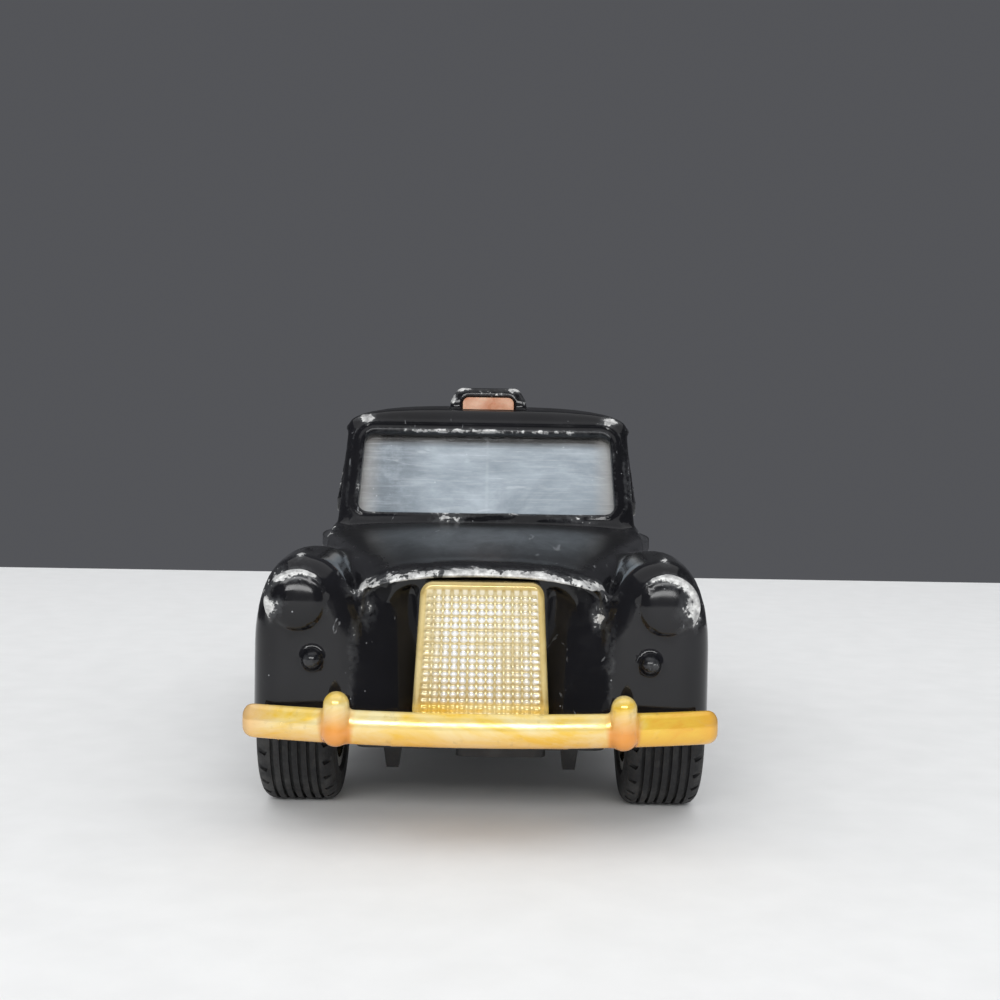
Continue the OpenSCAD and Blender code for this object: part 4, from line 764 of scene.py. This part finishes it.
# Plated mouldings: bumper blades, overriders and grille
def add_bumper(f, y_sign, tab_reach):
    def bar(x, y, z):
        rho = np.hypot(x, y * y_sign - front_y - bow_r)
        crown = CROWN * (1 - ((z - blade_z - blade_h / 2) / (blade_h / 2)) ** 2)
        return box_sd(rho - np.clip(crown, 0, CROWN), z, (bow_r - blade_t, blade_z),
                      (bow_r - CROWN, blade_z + blade_h), CROWN_EDGE_R)

    def past_ends(x, y, z):
        top = blade_z + blade_h
        return -box_sd(x, z, (-blade_half, blade_z), (blade_half, top), blade_end_r)

    f.join(SHARP_JOIN, bar)
    f.carve(END_JOIN, past_ends)
    bow = bow_r - math.sqrt(bow_r ** 2 - overrider_x ** 2)
    y0 = y_sign * (front_y + bow + blade_t / 3)
    top = blade_z + blade_h + overrider_rise - overrider_r
    for s in (-1, 1):
        x = s * overrider_x
        f.join(ROUND_JOIN, *capsule((x, y0, blade_z + overrider_r), (x, y0, top),
                                    OVERRIDER_FOOT * overrider_r, OVERRIDER_HEAD * overrider_r))

        def tab(px, y, z):
            foot, middle = base_top + seat_gap, s * tab_x
            flat = box_sd(px, z, (middle - tab_w / 2, foot),
                          (middle + tab_w / 2, foot + tab_t), TAB_R)
            ahead = np.abs(y * y_sign - front_y - blade_t - tab_reach / 2)
            return np.maximum(flat, ahead - tab_reach / 2 + blade_t / 4)
        f.join(FINE_JOIN, tab)


def grille_outline(x, z, inset):
    r = max(grille_head_r - inset, GRILLE_LEAST_R)
    return trapezoid_sd(x, z, grille_w - 2 * inset, grille_head_w - 2 * inset,
                        grille_foot + inset, grille_h - inset, r)


def grille(x, y, z):
    cells_w, cells_z = grille_head_w - 2 * grille_frame, blade_z + blade_h
    cells_h = grille_h - grille_frame - cells_z
    up = np.clip((z - grille_foot) / (grille_h - grille_foot), 0, 1)
    widen = mix(grille_w, grille_head_w, up) / grille_head_w
    u = (x / widen + cells_w / 2) / cells_w * grille_cols
    v = (z - cells_z) / cells_h * grille_rows
    pillow = 1
    for c in (u, v):
        off = np.abs((c % 1) - 0.5) * 2
        pillow = pillow * np.maximum(0, 1 - off ** PILLOW_BLUNT) ** PILLOW_FALL
    inner, edge = grille_outline(x, z, grille_frame), grille_outline(x, z, 0.0)
    sunk = np.clip(-inner / CELL_EDGE, 0, 1) * cell_depth * (1 - pillow)
    sunk = sunk + np.clip(-inner / SINK_EDGE, 0, 1) * SINK
    front = grille_y + sunk + GRILLE_ROUND * np.clip(1 + edge / GRILLE_ROUND, 0, 1) ** 2
    face = np.maximum(edge, (front - y) * GRILLE_EASE)
    return np.maximum(face, y - apron_y + seat_gap / 2)


def bridge(x, y, z):
    """Block that joins blade and grille."""
    half = grille_w / 2 - grille_frame
    flat = box_sd(x, z, (-half, blade_z + 2 * CROWN_EDGE_R),
                  (half, grille_foot + grille_frame), BRIDGE_R)
    return np.maximum(flat, np.abs(y - (front_y + apron_y) / 2) - (apron_y - front_y - blade_t) / 2)


def build_front():
    f = Field(*across(front_y, blade_z - BLADE_ROOM, base_front + tab_grip, grille_h, THIN),
              FRONT_VOXEL)
    add_bumper(f, 1, base_front - front_y + tab_grip - blade_t / 2)
    f.join(SOFT_JOIN, grille)
    f.join(TRIM_JOIN, bridge)
    obj = f.mesh("front_moulding", TRIM_ADAPT, PLATING_SPREAD)
    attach(obj, "chassis")
    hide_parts("front_bumper_grille")
    return obj


def build_rear():
    reach, top = back_y - base_back + tab_grip, blade_z + blade_h + overrider_rise
    f = Field(*across(back_y - reach, blade_z - BLADE_ROOM, back_y, top, THIN), REAR_VOXEL)
    add_bumper(f, -1, reach - blade_t / 2)
    obj = f.mesh("rear_moulding", TRIM_ADAPT, PLATING_SPREAD)
    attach(obj, "chassis")
    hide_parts("rear_bumper")
    return obj


# Colours, linear
PAINT_DEEP, PAINT_FADED = (0.0045, 0.0045, 0.0055), (0.009, 0.009, 0.011)
PAINT_DULL, SPECK = (0.085, 0.088, 0.092), (0.32, 0.33, 0.34)
ZINC_DARK, PALE_ZINC_AND_GLINT = (0.26, 0.26, 0.26), (0.84, 0.84, 0.82)
SILVER, OCHRE, OLIVE_SHADE = (0.90, 0.90, 0.88), (0.78, 0.66, 0.38), (0.64, 0.53, 0.28)
GOLD, GOLD_DEEP, BROWN = (0.68, 0.54, 0.24), (0.56, 0.41, 0.14), (0.36, 0.25, 0.11)
YELLOW, CREAM, ORANGE = (0.84, 0.56, 0.07), (0.85, 0.73, 0.38), (0.74, 0.24, 0.015)
HAZE_DEEP, HAZE_PALE, PANE_SHADE = (0.36, 0.42, 0.47), (0.61, 0.68, 0.74), (0.17, 0.20, 0.23)
PANE_HEAD_SHADOW, PANE_EDGE, SCRATCH = (0.11, 0.105, 0.10), (0.58, 0.56, 0.53), (0.80, 0.83, 0.86)
GRILLE_BLUR = 0.15


# Materials
class Nodes:
    """Short way to write the node tree of a material or world."""

    def __init__(self, name, kind="materials"):
        self.block = getattr(bpy.data, kind).new(name)
        self.block.use_nodes = True
        self.tree = self.block.node_tree
        self.tree.nodes.clear()
        if kind == "materials":
            self.bsdf = self.tree.nodes.new("ShaderNodeBsdfPrincipled")
            self.end("Material", self.bsdf.outputs[0])
            self.coord = self.node("TexCoord", {}, "Object")

    def end(self, kind, shader):
        self.tree.links.new(shader, self.tree.nodes.new("ShaderNodeOutput" + kind).inputs[0])

    def put(self, socket, v):
        if hasattr(v, "is_output"):
            self.tree.links.new(v, socket)
        else:
            socket.default_value = v

    def set(self, **kw):
        for k, v in kw.items():
            self.put(self.bsdf.inputs[k.replace("_", " ")], v)

    def node(self, kind, ins, out=0, **props):
        """New node with its inputs linked or set; gives one of its outputs."""
        n = self.tree.nodes.new("ShaderNode" + kind)
        for k, v in props.items():
            setattr(n, k, v)
        for k, v in ins.items():
            self.put(n.inputs[k], v)
        return n.outputs[out]

    def noise(self, scale, detail=4.0, rough=0.55, distortion=0.0, stretch=None, turn=(0, 0, 0)):
        at = self.coord
        if stretch:
            at = self.node("Mapping", {0: at, "Scale": stretch, "Rotation": turn})
        return self.node("TexNoise", {"Vector": at, "Scale": scale, "Detail": detail,
                                      "Roughness": rough, "Distortion": distortion}, "Fac")

    def cells(self, scale):
        return self.node("TexVoronoi", {"Vector": self.coord, "Scale": scale}, "Distance")

    def attribute(self, name):
        return self.node("Attribute", {}, "Fac", attribute_name=name)

    def axis(self, k, of=None):
        return self.node("SeparateXYZ", {0: of or self.coord}, k)

    def normal(self, k):
        return self.axis(k, self.node("NewGeometry", {}, "Normal"))

    def math(self, op, a, b=0.0, clamp=False):
        return self.node("Math", {0: a, 1: b}, operation=op, use_clamp=clamp)

    def mul(self, first, *others, op="MULTIPLY"):
        for v in others:
            first = self.math(op, first, v)
        return first

    def sum(self, *values):
        return self.mul(*values, op="ADD")

    def most(self, *values):
        return self.mul(*values, op="MAXIMUM")

    def range(self, v, a, b, c=0.0, d=1.0):
        return self.node("MapRange", {0: v, 1: a, 2: b, 3: c, 4: d}, clamp=True)

    def span(self, v, a, b, c=0.0, d=1.0):
        """Range of a place, with its ends in mm."""
        return self.range(v, a * MM, b * MM, c, d)

    def mix(self, fac, a, b):
        a, b = ((*v, 1) if isinstance(v, tuple) else v for v in (a, b))
        return self.node("Mix", {0: fac, 6: a, 7: b}, 2, data_type="RGBA")

    def mixf(self, fac, a, b):
        return self.node("Mix", {0: fac, 2: a, 3: b}, data_type="FLOAT")

    def bump(self, height, strength, depth):
        ins = {"Height": height, "Strength": strength, "Distance": depth * MM}
        self.set(Normal=self.node("Bump", ins))


def enamel():
    m = Nodes("black_enamel")
    # chips down to the zinc where edges and rubbed places are worn, dull paint round them. The
    # chips are kept pale and only weakly metallic, so they are worn metal and a painted highlight
    # as well
    coarse, fine = m.noise(420, 6, 0.62), m.noise(1900, 5, 0.6)
    edge = m.sum(m.range(m.attribute("wear"), 0.10, 0.6, 0, 0.40), m.attribute("rub"))
    ragged = m.math("SUBTRACT", m.sum(m.mul(coarse, 1.4), m.mul(fine, 0.9)), 1.15)
    worn = m.sum(edge, ragged)
    chip = m.range(worn, 0.56, 0.64)
    dull = m.mul(m.range(worn, 0.2, 0.6), m.range(edge, 0.1, 0.4, 0, 0.5))
    # dust and lint
    dust = m.mul(m.range(m.cells(900), 0.05, 0.09, 1, 0), m.range(m.noise(260, 3), 0.53, 0.64))
    threads = m.noise(600, 3, 0.5, 1.5, (1, 0.16, 0.5), (0.4, 0.3, 0.9))
    specks = m.most(m.mul(dust, 0.8), m.range(threads, 0.69, 0.73, 0, 0.35))
    paint = m.mix(m.range(m.noise(90, 4), 0.35, 0.7), PAINT_DEEP, PAINT_FADED)
    paint = m.mix(specks, m.mix(dull, paint, PAINT_DULL), SPECK)
    # pale, weakly lit-looking zinc of the chips: worn metal, and a painted highlight that stands
    # for glints
    zinc = m.mix(m.range(m.noise(1500, 4), 0.3, 0.7), ZINC_DARK, PALE_ZINC_AND_GLINT)
    # gloss, less of it on top
    scuff = m.noise(240, 6, 0.7, 0.4, (1, 0.35, 1.6))
    gloss = m.range(scuff, 0.45, 0.75, 0.09, 0.24)
    upward = m.range(m.normal(2), 0.88, 0.985)
    gloss = m.mixf(upward, gloss, m.range(scuff, 0.35, 0.7, 0.30, 0.42))
    m.set(Base_Color=m.mix(chip, paint, zinc), Metallic=m.mul(chip, 0.35),
          Roughness=m.mixf(m.most(chip, dull), gloss, 0.42), Specular_IOR_Level=0.4)
    ripple = m.sum(m.mul(m.noise(150, 3), 0.25), m.mul(chip, -1.0), m.mul(fine, chip, 1.5),
                   m.mul(specks, 0.3))
    m.bump(ripple, 0.5, 0.12)
    return m.block


def plating():
    m = Nodes("yellowed_plating")
    x, z, wear = m.axis(0), m.axis(2), m.attribute("wear")
    aside = m.math("ABSOLUTE", x)
    # grille: silver cells, ochre in one corner, olive in the hollows between the cells as painted
    # shade, golden frame
    patch = m.noise(170, 5, 0.6, 0.3)
    corner = m.most(m.span(x, -3.0, -5.0), m.span(z, 21.5, 23.5, 0, 0.7))
    corner = m.mul(corner, m.range(patch, 0.26, 0.46))
    cell = m.mix(m.most(corner, m.range(patch, 0.52, 0.66, 0, 0.7)), SILVER, OCHRE)
    # olive where the surface is hollow between the cells: painted shade
    cell = m.mix(m.range(wear, -0.12, 0.05), OLIVE_SHADE, cell)
    taper = (grille_w - grille_head_w) / 2 / (grille_h - grille_foot)
    frame_x, frame_z = grille_w / 2 + taper * grille_foot - grille_frame, grille_h - grille_frame
    surround = m.most(m.span(m.sum(aside, m.mul(z, taper)), frame_x - GRILLE_BLUR, frame_x),
                      m.span(z, frame_z - GRILLE_BLUR, frame_z))
    cell = m.mix(surround, cell, m.mix(m.range(patch, 0.4, 0.6), GOLD, GOLD_DEEP))
    # bumper: cream and yellow, amber at its foot, ends and overriders
    bar = m.most(m.span(z, 13.2, 12.6), m.span(aside, 7.8, 8.4))
    flow = m.noise(130, 5, 0.65, 0.6, (0.6, 1, 1.6))
    blade_tone = m.mix(m.range(flow, 0.40, 0.58), CREAM, YELLOW)
    post = m.span(m.math("ABSOLUTE", m.math("SUBTRACT", aside, overrider_x * MM)), 1.9, 1.3)
    post = m.mul(post, m.span(z, 13.2, 10.8, 0, 0.85))
    amber = m.most(m.span(z, 11.4, 9.2, 0, 0.5), post, m.range(flow, 0.56, 0.70, 0, 0.6),
                   m.span(aside, 18.5, 22.6, 0, 0.5))
    tone = m.mix(bar, cell, m.mix(amber, blade_tone, ORANGE))
    grime = m.most(m.range(m.noise(800, 5, 0.65), 0.58, 0.72, 0, 0.4),
                   m.span(aside, 21.9, 22.9, 0, 0.6))
    m.set(Base_Color=m.mix(grime, tone, BROWN), Metallic=m.range(bar, 0, 1, 0.38, 0.25),
          Roughness=m.range(m.noise(500, 5), 0.35, 0.7, 0.13, 0.28),
          Coat_Weight=0.5, Coat_Roughness=0.07)
    m.bump(m.sum(m.noise(420, 4), m.noise(150, 3)), 0.4, 0.1)
    return m.block


def clear_plastic():
    m = Nodes("clear_plastic")
    x, aside = m.axis(0), m.math("ABSOLUTE", m.axis(0))
    haze = m.noise(110, 6, 0.65, 0.4, (0.6, 1, 1.4))
    # scratches, wiped arcs, specks and the moulding seam
    scratch = m.noise(2400, 4, 0.7, 0.4, (0.07, 0.3, 1.2), (0, 0.03, 0))
    arc = m.noise(700, 3, 0.6, 2.0, (0.15, 0.3, 1.0), (0, -0.3, 0))
    specks = m.mul(m.range(m.cells(800), 0.06, 0.11, 0.8, 0), m.range(m.noise(200, 3), 0.5, 0.6))
    marks = m.most(m.range(scratch, 0.5, 0.76, 0, 0.5), m.range(arc, 0.62, 0.72, 0, 0.45), specks,
                   m.span(aside, 0.06, 0.3, 0.22, 0))
    veil = m.math("ADD", m.range(haze, 0.3, 0.7, 0.5, 0.7), m.mul(marks, 0.16), True)
    # windscreen: painted shade on one side and a painted shadow of the roof at its head, paler at
    # its edges
    tone = m.mix(m.range(haze, 0.35, 0.65), HAZE_DEEP, HAZE_PALE)
    side_shade = m.mul(m.span(x, -6.8, -10.8, 0, 0.6), m.span(m.axis(1), -14.5, -15.5),
                  m.range(m.noise(300, 5, 0.7), 0.3, 0.55))
    tone = m.mix(side_shade, tone, PANE_SHADE)
    tone = m.mix(m.span(m.axis(2), 37.8, 38.7, 0, 0.95), tone, PANE_HEAD_SHADOW)
    tone = m.mix(m.span(aside, 13.0, 15.2, 0, 0.75), tone, PANE_EDGE)
    m.set(Base_Color=m.mix(m.mul(marks, 0.55), tone, SCRATCH), Alpha=veil,
          Roughness=m.range(marks, 0, 1, 0.2, 0.42))
    m.bump(m.sum(haze, m.mul(marks, 0.3)), 0.3, 0.06)
    return m.block


def plain(name, tone, layers, gloss, rough, relief=None, more=()):
    """A tone below layers of noise, with noises for gloss and relief."""
    m = Nodes(name)
    for noise, limits, over_tone in layers:
        tone = m.mix(m.range(m.noise(*noise), *limits), tone, over_tone)
    m.set(Base_Color=tone, Roughness=m.range(m.noise(*gloss), 0.3, 0.7, *rough), **dict(more))
    if relief:
        noise, strength, depth = relief
        m.bump(m.noise(*noise), strength, depth)
    return m.block


def rub_attribute(obj, spots):
    """Extra wear near places that hands and floors rub most."""
    me = obj.data
    p = np.empty(len(me.vertices) * 3, np.float32)
    me.vertices.foreach_get("co", p)
    p = p.reshape(-1, 3) / MM
    rub = np.zeros(len(p), np.float32)
    for place, reach, strength in spots:
        d2 = (((p - np.array(place)) / np.array(reach)) ** 2).sum(1)
        near = strength * np.exp(-d2)
        rub = np.maximum(rub, near) if strength > 0 else rub + near
    me.attributes.new("rub", "FLOAT", "POINT").data.foreach_set("value", rub)


body = build_body()
left_door = build_door(1, "left_door_skin", "left_rear_door", "left_door")
right_door = build_door(-1, "right_door_skin", "right_rear_door", "right_door")
front = build_front()
rear = build_rear()

# Rubbed spots of the body: place and reach in mm, strength; a negative one spares the paint
spots = []
roof_y = windscreen_y + windscreen_lean
for s in (-1, 1):
    spots += [
        # roof corner, lamp, wing crest
        ((s * 15.2, roof_y + 0.2, rail_h + 1.6), (1.1, 1.3, 0.8), 1.1),
        ((s * (crest_x - lamp_r), nose_y + 0.3, lamp_h), (0.7, 0.9, 1.4), 0.35),
        ((s * crest_x, nose_y + bead_set, wing_h - 0.2), (0.7, 3.0, 0.8), 0.5),
        # crease between wing and bonnet, from the top down: worn paint, and a painted highlight for
        # the glints along the crease
        ((s * 12.2, nose_y + 1.6, lamp_h + 1.4), (1.6, 1.8, 1.6), 0.45),
        ((s * 11.3, nose_y + 1.5, lamp_h - 0.8), (0.9, 2.2, 1.9), 0.62),
        ((s * 12.4, nose_y + 1.5, 17.0), (0.6, 2.2, 4.5), 0.6),
        # foot of the windscreen post, sign, back of the roof, side lamp
        ((s * 18.4, windscreen_y - 1.0, cowl_h - 1.2), (1.8, 2.5, 1.2), 0.4),
        ((s * (sign_head_w / 2 - 0.3), sign_y + 1.0, roof_h + sign_rise), (1.0, 1.2, 0.5), 0.7),
        ((s * (sign_w / 2), sign_y, roof_h), (0.6, 0.8, 0.8), 0.4),
        ((s * rail_half, rear_window_y - rear_window_lean, rail_h), (1.2, 1.6, 1.2), 0.4),
        ((s * side_lamp_x, nose_y - 0.5, side_lamp_h), (1.3, 2.0, 1.3), -0.9),
    ]
spots += [
    # outer sides of the lamps, which differ from left to right, and the bonnet's lip
    ((-20.1, nose_y - 0.6, 21.8), (1.2, 1.5, 1.2), 1.0),
    ((-19.0, nose_y, 24.9), (2.8, 2.0, 1.1), 0.68),
    ((-21.3, nose_y + 0.8, 23.4), (0.9, 1.8, 1.8), 0.6),
    ((20.1, nose_y + 0.3, 22.5), (1.8, 2.0, 2.5), 0.8),
    ((18.4, nose_y, 24.9), (2.3, 1.8, 0.9), 0.66),
    ((8.0, nose_y + 1.0, lip_h - 1.4), (3.0, 1.6, 1.4), 0.42),
    ((0, nose_y + lip_set, lip_h - 0.5), (11.5, 1.5, 1.4), 0.46),
]
# frame of the windscreen, scuttle and windscreen posts
for v, strength in ((0, 0.34), (window_sill, 0.26), (window_sill + windscreen_h, 0.3)):
    spots += [(on_pane(0, 0, v), (17, 0.9, 0.5), strength)]
# scuttle beside the wipers: worn paint, and a painted highlight for its glints
for x, strength in ((-4.0, 0.55), (wiper_x[1] + wiper_l / 4, 0.38)):
    spots += [((x, windscreen_y - 0.4, belt_h + 0.2), (3.5, 0.9, 0.6), strength)]
for s, strength in ((-1, 0.14), (1, 0.34)):
    spots += [((s * 17.6, windscreen_y + 2.6, belt_h + 5.5), (0.9, 3.0, 6.0), strength)]
rub_attribute(body, spots)
for door in (left_door, right_door):
    rub_attribute(door, [])

# Looks, by the record's slots for the nodes that stay. A plain one has a tone; layers, each
# with its noise, limits and tone; noise and roughness of the gloss; noise, strength and depth
# of the relief
black, gold = enamel(), plating()
TAN_GRAIN, COAL_GRAIN, TYRE_GRAIN = (1600, 4, 0.6), (1400, 5, 0.65), (2200, 4, 0.6)
CLOUD, STAIN, STAIN_LIMITS = (500, 4, 0.6, 0.3), (260, 5, 0.62, 0.3), (0.35, 0.7)
METAL = ((1200, 3), 0.25, 0.06), {"Metallic": 0.95}
PLAIN = {
    "tan_plastic": (
        (0.30, 0.17, 0.085), [((70, 4), (0.35, 0.65), (0.42, 0.27, 0.15)),
                              ((420, 5), (0.58, 0.75), (0.18, 0.10, 0.05))],
        TAN_GRAIN, (0.42, 0.6), (TAN_GRAIN, 0.35, 0.1)),
    "black_plastic": (
        (0.012, 0.012, 0.013),
        [((200, 6, 0.7, 0.3, (1, 0.3, 1)), (0.5, 0.75), (0.05, 0.05, 0.052))],
        COAL_GRAIN, (0.36, 0.55), (COAL_GRAIN, 0.4, 0.12)),
    "orange_plastic": (
        (0.50, 0.21, 0.11), [(CLOUD, (0.35, 0.68), (0.66, 0.40, 0.27))], CLOUD, (0.25, 0.4),
        ((900, 3), 0.2, 0.06), {"Subsurface_Weight": 0.1, "Subsurface_Scale": 0.0005}),
    "tyre_rubber": (
        (0.010, 0.010, 0.011), [((300, 6, 0.7), (0.46, 0.72), (0.055, 0.054, 0.052))],
        TYRE_GRAIN, (0.55, 0.8), (TYRE_GRAIN, 0.5, 0.12)),
    "silver_plating": (
        (0.78, 0.76, 0.70), [(STAIN, STAIN_LIMITS, (0.45, 0.40, 0.30))],
        (900, 4), (0.154, 0.286), *METAL),
    "steel": (
        (0.62, 0.61, 0.59), [(STAIN, STAIN_LIMITS, (0.35, 0.33, 0.31))],
        (900, 4), (0.238, 0.442), *METAL),
}
looks = {name: plain(name, *row) for name, row in PLAIN.items()}
looks["clear_plastic"] = clear_plastic()
for obj in (body, left_door, right_door):
    obj.data.materials.append(black)
for obj in (front, rear):
    obj.data.materials.append(gold)
slots = {p["node"]: p["material_slot"] for p in frame["record"]["subparts"]}
for node, obj in frame["nodes"].items():
    if slots[node] in looks:
        obj.data.materials.clear()
        obj.data.materials.append(looks[slots[node]])

# Stage: a pale table in front of a plain grey room, in m
TABLE_SIDE, TABLE_NEAR, TABLE_FAR = 0.9, -0.9, 0.26
corners = [(x, y, 0) for x, y in ((-TABLE_SIDE, TABLE_NEAR), (TABLE_SIDE, TABLE_NEAR),
                                  (TABLE_SIDE, TABLE_FAR), (-TABLE_SIDE, TABLE_FAR))]
me = bpy.data.meshes.new("table")
me.from_pydata(corners, [], [(0, 1, 2, 3)])
table = placed("table", me)
MOTTLE = (160, 5, 0.6)
me.materials.append(plain(
    "table_top", (0.82, 0.82, 0.81), [(MOTTLE, (0.35, 0.7), (0.85, 0.85, 0.84))],
    MOTTLE, (0.55, 0.65), more={"Specular_IOR_Level": 0.1}))

# Room: its light, and the grey that camera, panes and gloss show instead of it
ROOM_LIGHT, ROOM_SEEN = ((0.55, 0.56, 0.58, 1), 1.2), ((0.088, 0.090, 0.098, 1), 1.0)
room = Nodes("room", "worlds")
bpy.context.scene.world = room.block
rays = [room.node("LightPath", {}, ray)
        for ray in ("Is Camera Ray", "Is Transmission Ray", "Is Glossy Ray")]
light, seen = (room.node("Background", {"Color": colour, "Strength": strength})
               for colour, strength in (ROOM_LIGHT, ROOM_SEEN))
room.end("World", room.node("MixShader", {0: room.most(*rays), 1: light, 2: seen}))

# Softboxes: name, place, aim, width and height in m, power in W
SOFTBOXES = (
    ("overhead", (0, 0, 0.8), (0, 0, 0), 1.2, 1.0, 2.2),
    ("front_strip", (-0.05, -0.8, 0.37), (0, 0, 0.02), 0.8, 0.18, 3.8),
    ("front_fill", (0, -1.15, 0.3), (0, 0, 0.02), 1.1, 0.9, 0.7),
)
for name, place, aim, width, height, power in SOFTBOXES:
    lamp = bpy.data.lights.new(name, "AREA")
    lamp.shape = "RECTANGLE"
    lamp.size, lamp.size_y, lamp.energy = width, height, power
    obj = placed(name, lamp)
    obj.location = place
    obj.rotation_euler = (Vector(aim) - Vector(place)).to_track_quat("-Z", "Y").to_euler()

# Camera at the photograph's place, with angles in radians
CAM_MM, FOCAL_PX, IMAGE_PX = (1.1717, -185.4613, 35.5364), 1358.27, 1000
CAM_YAW, CAM_PITCH, CAM_ROLL = 0.0029, -0.0244, 0.0162
cam = bpy.data.cameras.new("camera")
cam.sensor_width = 36
cam.lens = FOCAL_PX / IMAGE_PX * cam.sensor_width
cam.clip_start = 0.005
turn = (Matrix.Rotation(-CAM_YAW, 4, "Z") @ Matrix.Rotation(math.pi / 2 + CAM_PITCH, 4, "X")
        @ Matrix.Rotation(CAM_ROLL, 4, "Z"))
camera = placed("camera", cam)
camera.matrix_world = Matrix.Translation(Vector(CAM_MM) * MM) @ turn
bpy.context.scene.camera = camera
bpy.context.scene.view_settings.view_transform = "Standard"
